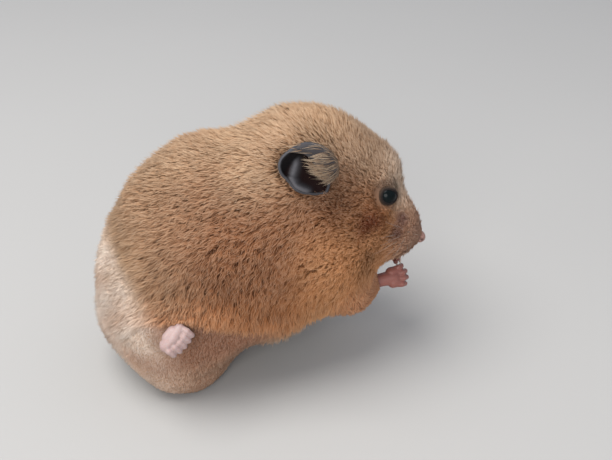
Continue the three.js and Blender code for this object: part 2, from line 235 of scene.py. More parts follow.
def on_head(point):
    return HEAD_SPIN @ np.array(point, float) + HEAD_CENTRE


def along_head(way):
    return HEAD_SPIN @ np.array(way, float)


def unit(v):
    v = np.asarray(v, float)
    return v / np.maximum(np.linalg.norm(v, axis=-1, keepdims=True), 1e-9)


def ramp(value, low, high):
    """0 below low, 1 above high and smooth between; low may be the larger."""
    t = np.clip((np.asarray(value, float) - low) / (high - low), 0, 1)
    return t * t * (3 - 2 * t)


NOSE = on_head((22.7, 0, -4))
EYES = {side: np.array(sum(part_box("eye_" + side), Vector())) / 2 / MM for side in ("left", "right")}
EYE_RADIUS = 3.1
SIDES = {"left": 1, "right": -1}
print("nose", NOSE.round(1), "eyes", {k: v.round(1) for k, v in EYES.items()})

# %% [markdown]
# ## The skin
# A real animal has one skin, so no seam may show between head, neck, trunk and legs. The solids
# of these parts are copied, swollen a little so that they touch, and melted into one surface by
# the Remesh modifier. Smooth and Subdivision Surface then take out the flat facets. Sculpting by
# hand would do it too, but this follows the measured shape exactly.

# %% Copy the solids of flesh into one mesh
FLESH = ["trunk", "neck", "head", "foreleg_left", "foreleg_right", "hindleg_left", "hindleg_right"]
SWELL = 0.22 * MM


SWELL_ROUND_HOLES = 0.4 * MM  # for the eyes and the nose, so that their seats close too


def link(name, mesh):
    piece = bpy.data.objects.new(name, mesh)
    bpy.context.collection.objects.link(piece)
    return piece


def mesh_of(form, name):
    """The bmesh as a mesh of that name; the bmesh is freed."""
    mesh = bpy.data.meshes.new(name)
    form.to_mesh(mesh)
    form.free()
    return mesh


def add_swollen(form, node, swell):
    """Adds a copy of a measured solid to form, each point moved out along its normal."""
    part = bmesh.new()
    part.from_mesh(nodes[node].data)
    bmesh.ops.remove_doubles(part, verts=part.verts, dist=1e-6)
    part.normal_update()
    for vert in part.verts:
        vert.co += vert.normal * swell
    copy = mesh_of(part, "copy")
    form.from_mesh(copy)
    bpy.data.meshes.remove(copy)


form = bmesh.new()
for node in FLESH:
    add_swollen(form, node, SWELL)
for node in ("eye_left", "eye_right", "nose"):
    add_swollen(form, node, SWELL_ROUND_HOLES)
print("points in the rough form:", len(form.verts))

# %% [markdown]
# A modifier's result is taken from the evaluated object and kept as a plain mesh, so nothing in
# the finished model is still live. The same three modifiers melt the body here and, with a finer
# voxel, the paws, the tail and the ears' stalks later.

# %% Melt the forms into one hide
def plain(piece, name):
    """The piece as its modifiers leave it, as a plain mesh with nothing live."""
    evaluated = piece.evaluated_get(bpy.context.evaluated_depsgraph_get())
    mesh = bpy.data.meshes.new_from_object(evaluated)
    bpy.data.objects.remove(piece)
    made = link(name, mesh)
    mesh.name = name
    return made


def melted(name, mesh, voxel, smooth, levels):
    """One skin round everything in mesh, by voxels in millimetres, rounds of smoothing and levels."""
    piece = link(name + "_rough", mesh)
    remesh = piece.modifiers.new("melt", "REMESH")
    remesh.mode = "VOXEL"
    remesh.voxel_size = voxel * MM
    softer = piece.modifiers.new("soften", "SMOOTH")
    softer.factor = 0.5
    softer.iterations = smooth
    if levels:
        finer = piece.modifiers.new("refine", "SUBSURF")
        finer.levels = finer.render_levels = levels
    return plain(piece, name)


hide = melted("hide", mesh_of(form, "flesh"), 1.3, 14, 1)
print("skin vertices:", len(hide.data.vertices))

# %% [markdown]
# What lies where is worked out once for every point of the skin: how far it is from the nose, the
# eyes and the paws, and whether it is on an arm or below the skirt of long fur that hangs over
# the thighs. numpy does this for all points at once.

# %% Measure the skin
def points_of(mesh):
    flat = np.empty(len(mesh.vertices) * 3, np.float32)
    mesh.vertices.foreach_get("co", flat)
    return flat.reshape(-1, 3).astype(float) / MM


def normals_of(mesh):
    flat = np.empty(len(mesh.vertices) * 3, np.float32)
    mesh.vertex_normals.foreach_get("vector", flat)
    return flat.reshape(-1, 3).astype(float)


def distance(points, centre):
    return np.linalg.norm(points - np.asarray(centre), axis=1)


def from_line(points, start, end):
    """Distance from a straight line between two places, and how far along it, from 0 to 1."""
    run = np.asarray(end) - np.asarray(start)
    along = np.clip((points - start) @ run / (run @ run), 0, 1)
    return np.linalg.norm(points - start - along[:, None] * run, axis=1), along


outer = points_of(hide.data)
outward = normals_of(hide.data)
outer_tree = BVHTree.FromPolygons(
    [Vector(p) for p in outer], [p.vertices for p in hide.data.polygons], all_triangles=False
)
in_head = (outer - HEAD_CENTRE) @ HEAD_SPIN
from_nose = distance(outer, NOSE)
from_eye = np.minimum(distance(outer, EYES["left"]), distance(outer, EYES["right"]))
print("the skin ends", from_nose.max().round(1), "mm from the nose")

# %% [markdown]
# An arm is three places, shoulder, elbow and wrist, with straight lines between them. The nearest
# line says how far down the arm a point of the skin lies, from 0 at the shoulder to 2 at the
# wrist, and which way the arm runs there.

# %% Points on the arms
ARM = [(14, 16, 38), (21, 13, 25), (31, 8.5, 24.5)]
FAR = 99.0
from_arm = np.full(len(outer), FAR)
down_arm = np.zeros(len(outer))
arm_way = np.zeros_like(outer)
for side in SIDES.values():
    shoulder, elbow, wrist = [np.array([x, side * y, z]) + SHIFT for x, y, z in ARM]
    for start, end, offset in ((shoulder, elbow, 0), (elbow, wrist, 1)):
        away, along = from_line(outer, start, end)
        nearer = away < from_arm
        from_arm[nearer] = away[nearer]
        down_arm[nearer] = along[nearer] + offset
        arm_way[nearer] = unit(end - start)
on_arm = (
    ramp(from_arm, 11, 7) * (1 - ramp(from_nose, 16, 9))
    * ramp(outer[:, 0], 12, 18) * ramp(outer[:, 2], 46, 38)
)
print("on the arms:", round(float(on_arm.mean()), 3), "of the skin")

# %% [markdown]
# The long fur of the flanks ends in a hanging edge, the skirt, and below it the thighs have short
# fur. A second edge divides the golden back from the pale rump. Each edge is a few pairs of
# numbers with straight lines between them, and a mask turns it into a share from 0 to 1.

# %% Edges of the skirt and of the pale rump
RAISED_FOOT = np.array([-35, -34.5, 31]) + SHIFT
FLAT_FOOT = np.array([8, 17, 2.6]) + SHIFT
FLAT_FOOT_LENGTH = 14
from_flat_foot = from_line(outer, FLAT_FOOT - [FLAT_FOOT_LENGTH, 0, 0], FLAT_FOOT)[0]
from_foot = np.minimum(distance(outer, RAISED_FOOT), from_flat_foot)

SKIRT = [(-60, 14), (-44, 22), (-36, 30.8), (-27, 33.6), (-19, 33.6), (-5, 27), (10, 23.5), (40, 24)]
skirt_height = np.interp(outer[:, 0], *np.transpose(SKIRT))
on_head_share = ramp(in_head[:, 0], -15, -5) * ramp(outer[:, 2], 28, 38)
under_skirt = (
    ramp(outer[:, 2] - skirt_height, 1.0, -1.6) * ramp(outer[:, 0], 8, -4)
    * ramp(outer[:, 0], -44, -38) * (1 - on_arm)
)
PALE_EDGE = [(0, -24), (15, -29), (30, -33.5), (37, -36), (44, -40.5), (50, -47), (56, -56)]
pale_edge = np.interp(outer[:, 2], *np.transpose(PALE_EDGE))
rear = ramp(outer[:, 0] - pale_edge, 7, -7)
near_floor = ramp(outer[:, 2], 5, 1)
from_skirt_edge = np.abs(outer[:, 2] - skirt_height - 5)
skirt_edge = ramp(from_skirt_edge, 6, 2) * ramp(outer[:, 0], 26, 12) * (1 - on_arm)
print("under the skirt:", round(float(under_skirt.mean()), 3), "of the skin")

# %% [markdown]
# ## The shape of the ears
# A hamster's ear is a thin, dark, almost naked cup whose front edge folds back over the opening
# as a hairy flap. Two outlines describe it, both measured in millimetres in the plane of the ear:
# p runs from the head to the ear's tip and q towards the front. One is the outer edge, the other
# is where the fold ends. The coat needs these first, as no hair grows under an ear.

# %% Outlines of an ear
EAR_HEART = np.array([5.5, -1.2])
EAR_EDGE = [
    (-1.4, 2.2), (-1.3, 5.2), (2.9, 7.3), (7.2, 7.5), (10.9, 6.3), (13.6, 4.3), (14.7, 1.8),
    (14.9, -0.8), (14.6, -3.4), (13.2, -5.1), (11.0, -6.1), (8.3, -6.1), (6.5, -6.1), (4.8, -6.3),
    (2.7, -6.0), (-0.4, -4.2), (-2.9, -2.0), (-3.9, -0.5), (-2.8, 1.1),
]
EAR_FOLD = [
    (-1.4, 2.1), (-0.6, 1.9), (3.1, 1.3), (6.3, 1.9), (9.6, 2.4), (12.4, 1.4), (13.8, 0.3), (14.6, -0.7),
]
EAR_RIDGE = [(12.0, -0.4), (10.4, -1.4), (8.8, -3.2), (7.4, -4.7), (4.5, -5.5), (0.9, -4.3)]
EAR_RIM_HEIGHT = [(-180, 2.6), (-120, 4.4), (-40, 4.6), (20, 5.2), (90, 5.4), (130, 4.6), (180, 2.6)]
EAR_ROOT = (-14.5, 2, 2.2)  # a point inside the head, level with the left ear's root
EAR_TIP_WAY = (-0.76, 0.5, 0.42)
EAR_OPEN_WAY = (0.4, 0.92, -0.1)


def sided(point, side):
    """A place or direction on the left side, mirrored if side is -1."""
    return np.array(point, float) * (1, side, 1)


def ear_frame(side):
    """The ear's root, and its directions up to the tip, forwards and out of the opening."""
    start = on_head(sided(EAR_ROOT, side))
    hit = outer_tree.ray_cast(Vector(start), Vector(along_head((0, side, 0.1))))
    up = unit(along_head(sided(EAR_TIP_WAY, side)))
    out = along_head(sided(EAR_OPEN_WAY, side))
    out = unit(out - up * (out @ up))
    return np.array(hit[0]) - np.array(hit[1]), up, side * np.cross(out, up), out


print("left ear stands at", ear_frame(1)[0].round(1))

# %% [markdown]
# No hair grows where an ear stands or over the opening of an eye. The eyes face sideways and a
# little forwards, so the bare opening is a round patch about that direction and not simply
# everything near the eyeball. The count of hairs falls to nothing there.

# %% Bare places under the ears and over the eyes
def under_ear(points, side, ahead=-0.5):
    """1 where the ear stands on the head, 0 elsewhere; ahead shifts that place forwards."""
    root, up, front, _ = ear_frame(side)
    away = from_line(points, root - 0.5 * up + ahead * front, root + 5.5 * up + ahead * front)[0]
    return ramp(away, 5.6, 4.2)


BEHIND_FLAP = -2.2  # leaves the hairs in front of the ear, where they cover its stalk
THICKER_ON_HEAD = 0.35
hair_count = (
    (1.0 + THICKER_ON_HEAD * on_head_share)
    * (1 - under_ear(outer, 1, BEHIND_FLAP)) * (1 - under_ear(outer, -1, BEHIND_FLAP))
)
EYE_LOOK = {side: unit(along_head((0.4, sign, 0.2))) for side, sign in SIDES.items()}


def over_eye(points, side):
    """1 where the eye's opening is, 0 elsewhere."""
    way = unit(points - EYES[side])
    off_axis = np.arccos(np.clip(way @ EYE_LOOK[side], -1, 1))
    return ramp(off_axis, 1.06, 0.82) * ramp(distance(points, EYES[side]), 6, 5)


opening = np.maximum(over_eye(outer, "left"), over_eye(outer, "right"))
hair_count *= 1 - opening
ears_stand_on = np.maximum(under_ear(outer, 1), under_ear(outer, -1))
print("skin kept bare:", int((hair_count < 0.5).sum()), "points")

# %% [markdown]
# The coat's length follows from where it grows: it is one millimetre at the nose, very short
# round the eyes and on the paws' side of the limbs, longer over the cheeks and crown, and longest
# on the flanks, where it hangs over the thighs.
# The skin then sinks below the solids by the depth of that coat, which is less than its length
# because the hairs lean back. Under the skirt it sinks further, which gives the hanging fur an
# edge with a shadow under it. It hardly sinks round the eyes, so the lids meet it, and the upper
# rump is drawn in a little, as the back falls away there.

# %% Length of the coat, and the depth of the skin under it
LENGTH_FROM_NOSE = [(2, 1.0), (6, 1.6), (12, 2.2), (20, 2.7), (30, 3.3), (42, 4.0), (55, 4.5)]
LEAN_FROM_NOSE = [(3, 26), (15, 31), (40, 42)]
BARELY = 1.6  # the length of fur round the eyes
SKIRT_DEPTH = 3.6
EAR_DEPTH = 2.6
RUMP_DEPTH = 1.5
hair_length = np.interp(from_nose, *np.transpose(LENGTH_FROM_NOSE))
hair_length = hair_length * (1 - 0.68 * under_skirt) * (1 - 0.35 * rear)
hair_length *= 1 + 0.25 * skirt_edge
hair_length *= 1 - (1 - BARELY / np.maximum(hair_length, BARELY)) * ramp(from_eye, 7.5, 3.8)
hair_length *= 1 - on_arm * (0.3 + 0.4 * ramp(down_arm, 0.8, 1.7))
hair_length *= 1 - 0.25 * ramp(from_foot, 10, 5)
hair_length *= 1 - 0.5 * near_floor
lean = np.interp(from_nose, *np.transpose(LEAN_FROM_NOSE)) - 9 * under_skirt - 6 * near_floor
depth = 0.9 * hair_length * np.sin(np.radians(lean))
depth += SKIRT_DEPTH * under_skirt * (1 - near_floor) * (1 - rear) * ramp(from_foot, 6, 13)
depth += EAR_DEPTH * ears_stand_on
depth *= 1 - 0.75 * ramp(from_eye, 6.5, 4.2)
depth += RUMP_DEPTH * ramp(outer[:, 0], -36, -43) * ramp(outer[:, 2], 33, 47) * ramp(outer[:, 2], 63, 55)


def soften(mesh, values, rounds):
    """Averages values with their neighbours' over the mesh's edges."""
    edges = np.empty(len(mesh.edges) * 2, np.int32)
    mesh.edges.foreach_get("vertices", edges)
    first, second = edges.reshape(-1, 2).T
    size = len(values)
    count = np.bincount(first, minlength=size) + np.bincount(second, minlength=size)
    for _ in range(rounds):
        total = np.bincount(first, values[second], size) + np.bincount(second, values[first], size)
        values = 0.5 * values + 0.5 * total / count
    return values


depth = soften(hide.data, depth, 12)
print("coat depth from", depth.min().round(2), "to", depth.max().round(2), "mm")

# %% [markdown]
# The mouth is a fold that starts under the nose and runs back along each side. It is pressed into
# the skin as a groove along a line of named places, and each eye gets a shallow socket. Where
# the skin sinks, the points move inwards, never sideways, so the coat's roots stay where they
# were measured.

# %% Sink the skin and fold the mouth
MOUTH = [(23.2, 0, -6.2), (21.8, 0, -8.3), (18.5, 3.3, -9.6), (13.5, 5.6, -9.0)]
MOUTH_DEPTH = 1.1
MOUTH_WIDTH = 1.1
SOCKET_DEPTH = 1.5
groove = np.full(len(outer), FAR)
for side in SIDES.values():
    line = [on_head(sided(point, side)) for point in MOUTH]
    for start, end in zip(line, line[1:]):
        groove = np.minimum(groove, from_line(outer, start, end)[0])
mouth_fold = np.exp(-((groove / MOUTH_WIDTH) ** 2))
sunk = outer - outward * (depth + MOUTH_DEPTH * mouth_fold + SOCKET_DEPTH * opening)[:, None]
sunk = np.stack([soften(hide.data, sunk[:, axis], 3) for axis in range(3)], axis=1)
sunk[:, 2] = np.maximum(sunk[:, 2], 0.5)
hide.data.vertices.foreach_set("co", (sunk * MM).astype(np.float32).ravel())
hide.data.update()
hide.data.shade_smooth()
roots = points_of(hide.data)
upright = normals_of(hide.data)
print("skin spans", roots.min(0).round(1), "to", roots.max(0).round(1))

# %% [markdown]
# Hair lies the way an animal strokes easily: away from the nose, over the crown and back, then
# down over the flanks, and towards the paws on the limbs. That is a direction for every point of
# the skin. A little slow waviness keeps the coat from looking machine-combed.

# %% Comb the coat
def waves(points, size, seed):
    """Smooth noise from -1 to 1 that changes over about the given size."""
    pick = np.random.default_rng(seed)
    total = np.zeros(len(points))
    for _ in range(9):
        way = unit(pick.normal(size=3)) / size * pick.uniform(2.0, 4.5)
        total += np.sin(points @ way + pick.uniform(0, 6.28))
    return np.clip(total / 4.5, -1, 1)


back_from_nose = unit(roots - NOSE)
hanging = 0.2 + (
    1.5 * ramp(roots[:, 2], 80, 30) * ramp(roots[:, 0], 38, 14)
    * (0.35 + 0.65 * ramp(roots[:, 0], -45, -15))
)
hanging *= 1 - 0.8 * on_head_share
comb = back_from_nose + hanging[:, None] * np.array([0.12, 0, -1.0])
comb = comb * (1 - on_arm)[:, None] + arm_way * (1.4 * on_arm)[:, None]
comb -= upright * (comb * upright).sum(1)[:, None]
comb = unit(comb)
across = np.cross(upright, comb)
swirl = 0.28 * waves(roots, 14, 3) + 0.16 * waves(roots, 6, 4)
comb = unit(comb + across * swirl[:, None])
print("comb ready for", len(comb), "points")

# %% [markdown]
# The markings are painted as soft patches, each with a place, a size and a colour: golden on the
# back, browner on the flanks, pale on the rump, duller on the crown, pale over the eyes and with
# a dark spot on each cheek. A darker patch below each ear is partly darker fur and partly painted
# shade under the ear. Skin and coat read the same painted colour, so they always agree.

# %% Paint the markings
def paint(colours, share, colour):
    share = np.clip(share, 0, 1)[:, None]
    return colours * (1 - share) + np.array(colour) * share


def patch(points, centre, inner, outer_edge):
    return ramp(distance(points, centre), outer_edge, inner)


GOLDEN = (0.50, 0.34, 0.213)
FLANK = (0.315, 0.14, 0.061)
BELLY_EDGE = (0.62, 0.285, 0.125)
BELLY = (0.66, 0.53, 0.42)
PALE_RUMP = (0.96, 0.84, 0.74)
THIGH = (0.40, 0.225, 0.155)
LOW_THIGH = (0.60, 0.40, 0.29)
CROWN = (0.40, 0.28, 0.19)
BROW = (0.88, 0.71, 0.56)
# darker fur below each ear, with painted shade of the ear laid over it
DARK_FUR_AND_SHADE_BELOW_EAR = (0.21, 0.094, 0.044)
CHEEK = (0.18, 0.046, 0.013)
MUZZLE = (0.46, 0.29, 0.215)
PAD = (0.18, 0.09, 0.085)
JAW = (0.70, 0.36, 0.17)
FOREARM = (0.68, 0.35, 0.20)
CHEST = (0.72, 0.37, 0.17)
ROUND_THE_EYE = (0.10, 0.07, 0.055)
BARE_UNDER_EAR = (0.03, 0.012, 0.010)

height = roots[:, 2]
mirrored = in_head * [1, -1, 1]


def face_patch(place, inner, outer_edge):
    """A patch on both sides of the face, its place given on the right side of the head."""
    sides = [patch(points, place, inner, outer_edge) for points in (in_head, mirrored)]
    return np.maximum(*sides)


print("colours named, and the crown is", height.max().round(1), "mm up")

# %% [markdown]
# The patches are laid on in order, like coats of glaze, from the broad ones of the body to the
# small ones of the face. Each is a share from 0 to 1 with its colour, and slow waves break up
# the edges, because no real marking ends in a clean line.

# %% Lay the colours on
forward = ramp(roots[:, 0] + 3 * waves(roots, 10, 2), -42, -8)
flank = (0.12 + 0.88 * forward) * ramp(height + 4 * waves(roots, 12, 5), 77, 52)
pale_rump = 0.97 * rear * (0.9 + 0.35 * waves(roots, 7, 21)) * (1 - 0.4 * ramp(height, 24, 14))
GLAZES = [
    (flank, FLANK),
    (ramp(height + 3 * waves(roots, 9, 9), 42, 27), BELLY_EDGE),
    (0.85 * ramp(roots[:, 0], 4, 18) * ramp(height, 62, 46), CHEST),
    (ramp(height, 24, 14) * ramp(roots[:, 0], -12, 6), BELLY),
    (0.95 * under_skirt, THIGH),
    (ramp(height, 20, 8) * ramp(roots[:, 0], 2, -8), LOW_THIGH),
    (pale_rump, PALE_RUMP),
    (ramp(from_nose, 52, 30) * ramp(height, 58, 68), CROWN),
    # below each ear: partly darker fur, partly painted shade under the ear
    (0.75 * face_patch((-5, -20.5, 0.5), 3, 14), DARK_FUR_AND_SHADE_BELOW_EAR),
    (face_patch((9, -6, 9.5), 1, 12), BROW),
    (face_patch((13, -3, 5.5), 1, 11), BROW),
    (0.8 * face_patch((9, 0, 11), 1, 11), BROW),
    (face_patch((7.6, -16.2, -3.8), 1.5, 8.5), CHEEK),
    (face_patch((10.5, -14.3, -9.5), 2, 8), JAW),
    (ramp(from_nose, 17, 5), MUZZLE),
    (0.85 * face_patch((15.8, -7.8, 0.2), 0.5, 3.8), PAD),
    (0.8 * face_patch((15.8, -9, -4), 0.5, 3.8), PAD),
    (0.8 * on_arm, FOREARM),
    (0.6 * ramp(from_eye, 6, 3.6), ROUND_THE_EYE),
    (ears_stand_on, BARE_UNDER_EAR),
]
markings = np.tile(np.array(GOLDEN), (len(roots), 1))
for share, colour in GLAZES:
    markings = paint(markings, share, colour)
mottle = 1 + 0.10 * waves(roots, 9, 6) + 0.07 * waves(roots, 3.5, 8)
markings = np.clip(markings * mottle[:, None], 0, 1)
print("mean colour of the coat:", markings.mean(0).round(3))

# %% [markdown]
# Fur isn't equally neat everywhere. Over the back and the rump it lies in one smooth sheet, and
# on the flanks and the head it parts into clumps. One more number for each point, `tousled`,
# says how much the locks there may gather and stray.

# %% Where the coat is tousled
tousled = 0.45 + 0.55 * ramp(height, 74, 58) * ramp(roots[:, 0], -42, -24) + 0.25 * waves(roots, 12, 31)
print("tousled from", tousled.min().round(2), "to", tousled.max().round(2))

# %% [markdown]
# All of this is stored on the skin as named attributes, which Geometry Nodes and shaders can
# read. The skin is also unwrapped, because a baked copy of the model needs to know which place
# on a flat picture belongs to each tuft.

# %% Store it on the skin and unwrap it
def store(mesh, name, values):
    values = np.asarray(values, np.float32)
    if values.ndim == 1:
        kind, field = "FLOAT", "value"
    elif values.shape[1] == 3:
        kind, field = "FLOAT_VECTOR", "vector"
    else:
        kind, field = "FLOAT_COLOR", "color"
    attribute = mesh.attributes.new(name, kind, "POINT")
    attribute.data.foreach_set(field, values.ravel())


def opaque(colours):
    return np.column_stack([colours, np.ones(len(colours))])


def unwrap(piece):
    """Cuts the piece's surface where it bends by more than 66 degrees and lays it out flat."""
    piece.data.uv_layers.new(name="OFBake")
    bpy.ops.object.select_all(action="DESELECT")
    bpy.context.view_layer.objects.active = piece
    piece.select_set(True)
    bpy.ops.object.mode_set(mode="EDIT")
    bpy.ops.mesh.select_all(action="SELECT")
    bpy.ops.uv.smart_project(angle_limit=math.radians(66), island_margin=0.003)
    bpy.ops.object.mode_set(mode="OBJECT")
    piece.select_set(False)


store(hide.data, "comb", comb)
store(hide.data, "hair_length", hair_length)
store(hide.data, "lean", np.radians(lean))
store(hide.data, "hair_count", hair_count)
store(hide.data, "tousled", np.maximum(tousled, 0.2))
store(hide.data, "markings", opaque(markings))
unwrap(hide)
print("stored:", [a.name for a in hide.data.attributes if not a.name.startswith(".")])

# %% [markdown]
# ## Skin and fur finishes
# The skin under the coat is dim and matt, as little light gets down to it. Each tuft is darker at
# its root and palest near its tip, which gives a coat its depth, and no two tufts are quite the
# same. A tuft is also shaded partly as if it lay flat on the skin: that is how thousands of fine
# hairs add up, and it keeps the coat soft instead of spiky.

# %% Hide and fur materials
def attribute(graph, name, output="Vector"):
    return graph.add("ShaderNodeAttribute", {"attribute_name": name}, output=output)


hide_skin, graph, shader = finish_material("hide_skin", (0.3, 0.17, 0.1), 0.75)
painted = attribute(graph, "markings", "Color")
place = graph.add("ShaderNodeTexCoord", output="Object")
pores = graph.add("ShaderNodeTexNoise", sockets={"Vector": place, "Scale": 900.0, "Detail": 2.0})
dimmed = graph.mix(0.2 + pores * 0.3, painted, (0.2, 0.09, 0.045, 1))
plug(graph.tree, shader.inputs["Base Color"], dimmed)
bump = graph.add("ShaderNodeBump", sockets={"Height": pores, "Strength": 0.4, "Distance": 0.0004})
plug(graph.tree, shader.inputs["Normal"], bump)
hide.data.materials.append(hide_skin)


def fur_material(name, root_dark, flat_share):
    """Fur whose roots are darkened by root_dark and whose shading lies flat by flat_share."""
    material, graph, shader = finish_material(name, (0.5, 0.3, 0.17), 0.62)
    shader.inputs["Specular IOR Level"].default_value = 0.25
    painted = attribute(graph, "markings", "Color")
    along = attribute(graph, "along", "Fac")
    shade = attribute(graph, "shade", "Fac")
    clump_shade = attribute(graph, "clump_shade", "Fac")
    root = graph.mix(1.0, painted, root_dark, "MULTIPLY")
    body = graph.mix(along ** 0.7, root, painted)
    pale = graph.mix(0.3, painted, (0.9, 0.76, 0.6, 1))
    tipped = graph.mix((along - 0.55) * shade * 1.5, body, pale)
    darker = graph.mix(1.0, tipped, (0.74, 0.62, 0.52, 1), "MULTIPLY")
    streaked = graph.mix(shade.maths("COMPARE", shade, 0.12, 0.12) * 0.55, tipped, darker)
    final = graph.mix(0.5 - clump_shade * 0.5, streaked, darker)
    plug(graph.tree, shader.inputs["Base Color"], final)
    own = graph.add("ShaderNodeNewGeometry", output="Normal")
    flat = attribute(graph, "root_normal")
    lying = graph.vector("SCALE", flat, scale=flat_share)
    standing = graph.vector("SCALE", own, scale=1 - flat_share)
    together = graph.vector("NORMALIZE", graph.vector("ADD", lying, standing))
    plug(graph.tree, shader.inputs["Normal"], together)
    return material


fur = fur_material("fur", (0.68, 0.49, 0.35, 1), 0.74)
print("materials:", [m.name for m in bpy.data.materials])

# %% [markdown]
# ## The coat
# One lock is a thin spike with three sides, ten triangles in all, because it will be repeated
# more than a hundred thousand times. Three locks with different bends are enough for variety.
# The lock is one unit long, and carries how far along it each point is.

# %% One lock of fur
LOCK_POINTS = 7
LOCK_TRIANGLES = 10


def lock_mesh(name, bend, sway):
    """A lock one unit long and one wide; bend and sway say how far its tip will droop and turn."""
    rings = [(0.0, 0.75), (0.42, 1.0)]
    verts, along, chart = [], [], []
    for height, width in rings:
        for corner in range(3):
            angle = corner * 2 * math.pi / 3
            x = 0.28 * width * math.cos(angle)
            y = 0.5 * width * math.sin(angle) / 0.866
            verts.append((x, y, height))
            along.append(height)
            chart.append((corner / 2, height, 0))
    verts.append((0, 0, 1.0))
    along.append(1.0)
    chart.append((0.5, 1, 0))
    faces = [(2, 1, 0)]
    for corner in range(3):
        following = (corner + 1) % 3
        faces.append((corner, following, following + 3, corner + 3))
        faces.append((corner + 3, following + 3, 6))
    mesh = bpy.data.meshes.new(name)
    mesh.from_pydata(verts, [], faces)
    store(mesh, "along", along)
    store(mesh, "lock_chart", chart)
    store(mesh, "lock_bend", np.full(LOCK_POINTS, bend))
    store(mesh, "lock_sway", np.full(LOCK_POINTS, sway))
    return mesh


lock_shelf = bpy.data.collections.new("lock_shelf")
for number, (bend, sway) in enumerate(((0.16, 0.0), (0.22, 0.12), (0.12, -0.12))):
    name = "lock_" + str(number)
    lock_shelf.objects.link(bpy.data.objects.new(name, lock_mesh(name, bend, sway)))

# %% [markdown]
# The comb is a tree of Geometry Nodes, built in steps. The first step scatters roots over one
# region of the hide. A second, much thinner scatter gives the centres of clumps, and each root
# belongs to the nearest of them. Random values are drawn for a root, or once for a whole clump.

# %% Roots, clumps and chances
def named(graph, name, kind="FLOAT"):
    return graph.add("GeometryNodeInputNamedAttribute", {"data_type": kind}, {"Name": name}, "Attribute")


def keep(graph, geometry, name, value, kind="FLOAT", domain="POINT"):
    settings = {"data_type": kind, "domain": domain}
    sockets = {"Geometry": geometry, "Name": name, "Value": value}
    return graph.add("GeometryNodeStoreNamedAttribute", settings, sockets, "Geometry")


def chance(graph, get, low, high, clump=None, kind="FLOAT"):
    """A random value for each root or, given the clump that it belongs to, for each clump."""
    sockets = {"Min": low, "Max": high, "Seed": get("Seed")}
    if clump is not None:
        sockets["ID"] = clump
    return graph.add("FunctionNodeRandomValue", {"data_type": kind}, sockets, "Value")


def scatter_roots(graph, get):
    """The roots, the number of each root's clump, and the way from the root to its centre."""
    chosen = graph.add("FunctionNodeCompare", {"data_type": "INT", "operation": "EQUAL"},
                       {"A": named(graph, "coat_region", "INT"), "B": get("Region")})
    density = get("Locks per area") * named(graph, "hair_count")
    spread = {"Mesh": get("Hide"), "Selection": chosen, "Density": density, "Seed": get("Seed")}
    points = graph.add("GeometryNodeDistributePointsOnFaces", None, spread, "Points")
    thin = dict(spread, Density=get("Clumps per area"), Seed=get("Seed") + 50)
    centres = graph.add("GeometryNodeDistributePointsOnFaces", None, thin, "Points")
    here = graph.add("GeometryNodeInputPosition")
    nearest = graph.add("GeometryNodeSampleNearest", None, {"Geometry": centres, "Sample Position": here})
    sample = {"Geometry": centres, "Value": here, "Index": nearest}
    centre = graph.add("GeometryNodeSampleIndex", {"data_type": "FLOAT_VECTOR"}, sample, "Value")
    return points, nearest, graph.vector("SUBTRACT", centre, here)


# %% [markdown]
# The second step decides which way a lock points. It lies along the combed direction, leans out
# from the skin, is drawn towards its clump's centre so that the tips gather and a dark parting
# opens between clumps, and strays a little by chance. Lengths are in millimetres here.

# %% Which way each lock points
def combed_way(graph, get, normal, clump, to_centre, length, own_chance):
    lean = named(graph, "lean") * (0.75 + own_chance * 0.5)
    lying = graph.vector("SCALE", named(graph, "comb", "FLOAT_VECTOR"), scale=lean.maths("COSINE", lean))
    rising = graph.vector("SCALE", normal, scale=lean.maths("SINE", lean))
    tousled = named(graph, "tousled")
    gather = graph.vector("SCALE", to_centre, scale=get("Clumping") * tousled * 1000.0 / length)
    jitter = chance(graph, get, (-1, -1, -1), (1, 1, 1), kind="FLOAT_VECTOR")
    clump_jitter = chance(graph, get, (-2, -2, -2), (2, 2, 2), clump, "FLOAT_VECTOR")
    both = graph.vector("ADD", jitter, clump_jitter)
    stray = graph.vector("SCALE", both, scale=get("Untidiness") * tousled)
    way = graph.vector("ADD", graph.vector("ADD", lying, rising), graph.vector("ADD", gather, stray))
    return graph.vector("NORMALIZE", way)


# %% [markdown]
# The third step sets one of the three locks on each root, turned that way and scaled to the
# length of the hair there. What a root knows is stored on it first, because each point of its
# lock inherits that when the instances are realized.

# %% Set a lock on each root
def set_locks(graph, get, points, normal, way, length, own_chance, clump_chance):
    flat_place = named(graph, "OFBake", "FLOAT_VECTOR")
    points = keep(graph, points, "root_normal", normal, "FLOAT_VECTOR")
    points = keep(graph, points, "root_place", flat_place, "FLOAT_VECTOR")
    points = keep(graph, points, "lock_length", length * MM)
    points = keep(graph, points, "shade", own_chance)
    points = keep(graph, points, "clump_shade", clump_chance)
    turn = graph.add("FunctionNodeAxesToRotation", {"primary_axis": "Z", "secondary_axis": "X"},
                     {"Primary Axis": way, "Secondary Axis": normal})
    width = get("Lock width") * MM * (0.75 + own_chance * 0.5)
    size = graph.add("ShaderNodeCombineXYZ", None, {"X": width, "Y": width, "Z": length * MM})
    shelf = graph.add("GeometryNodeCollectionInfo", None,
                      {"Collection": get("Locks"), "Separate Children": True, "Reset Children": True})
    locks = graph.add("GeometryNodeInstanceOnPoints", None, {
        "Points": points, "Instance": shelf, "Pick Instance": True, "Rotation": turn, "Scale": size,
        "Instance Index": chance(graph, get, 0, 2, kind="INT")})
    return graph.add("GeometryNodeRealizeInstances", None, {"Geometry": locks})


# %% [markdown]
# The last step bends each lock down towards the skin and a little sideways, more towards its
# tip. Nothing may reach below the floor. Each lock also gets its own small patch on the unwrap
# of the hide, at the place of its root, so that a baked picture gives the whole lock the colour
# that the hide has there.

# %% Bend the locks and lay out their patches
LOWEST = 0.2 * MM
PATCH_SIZE = 0.003


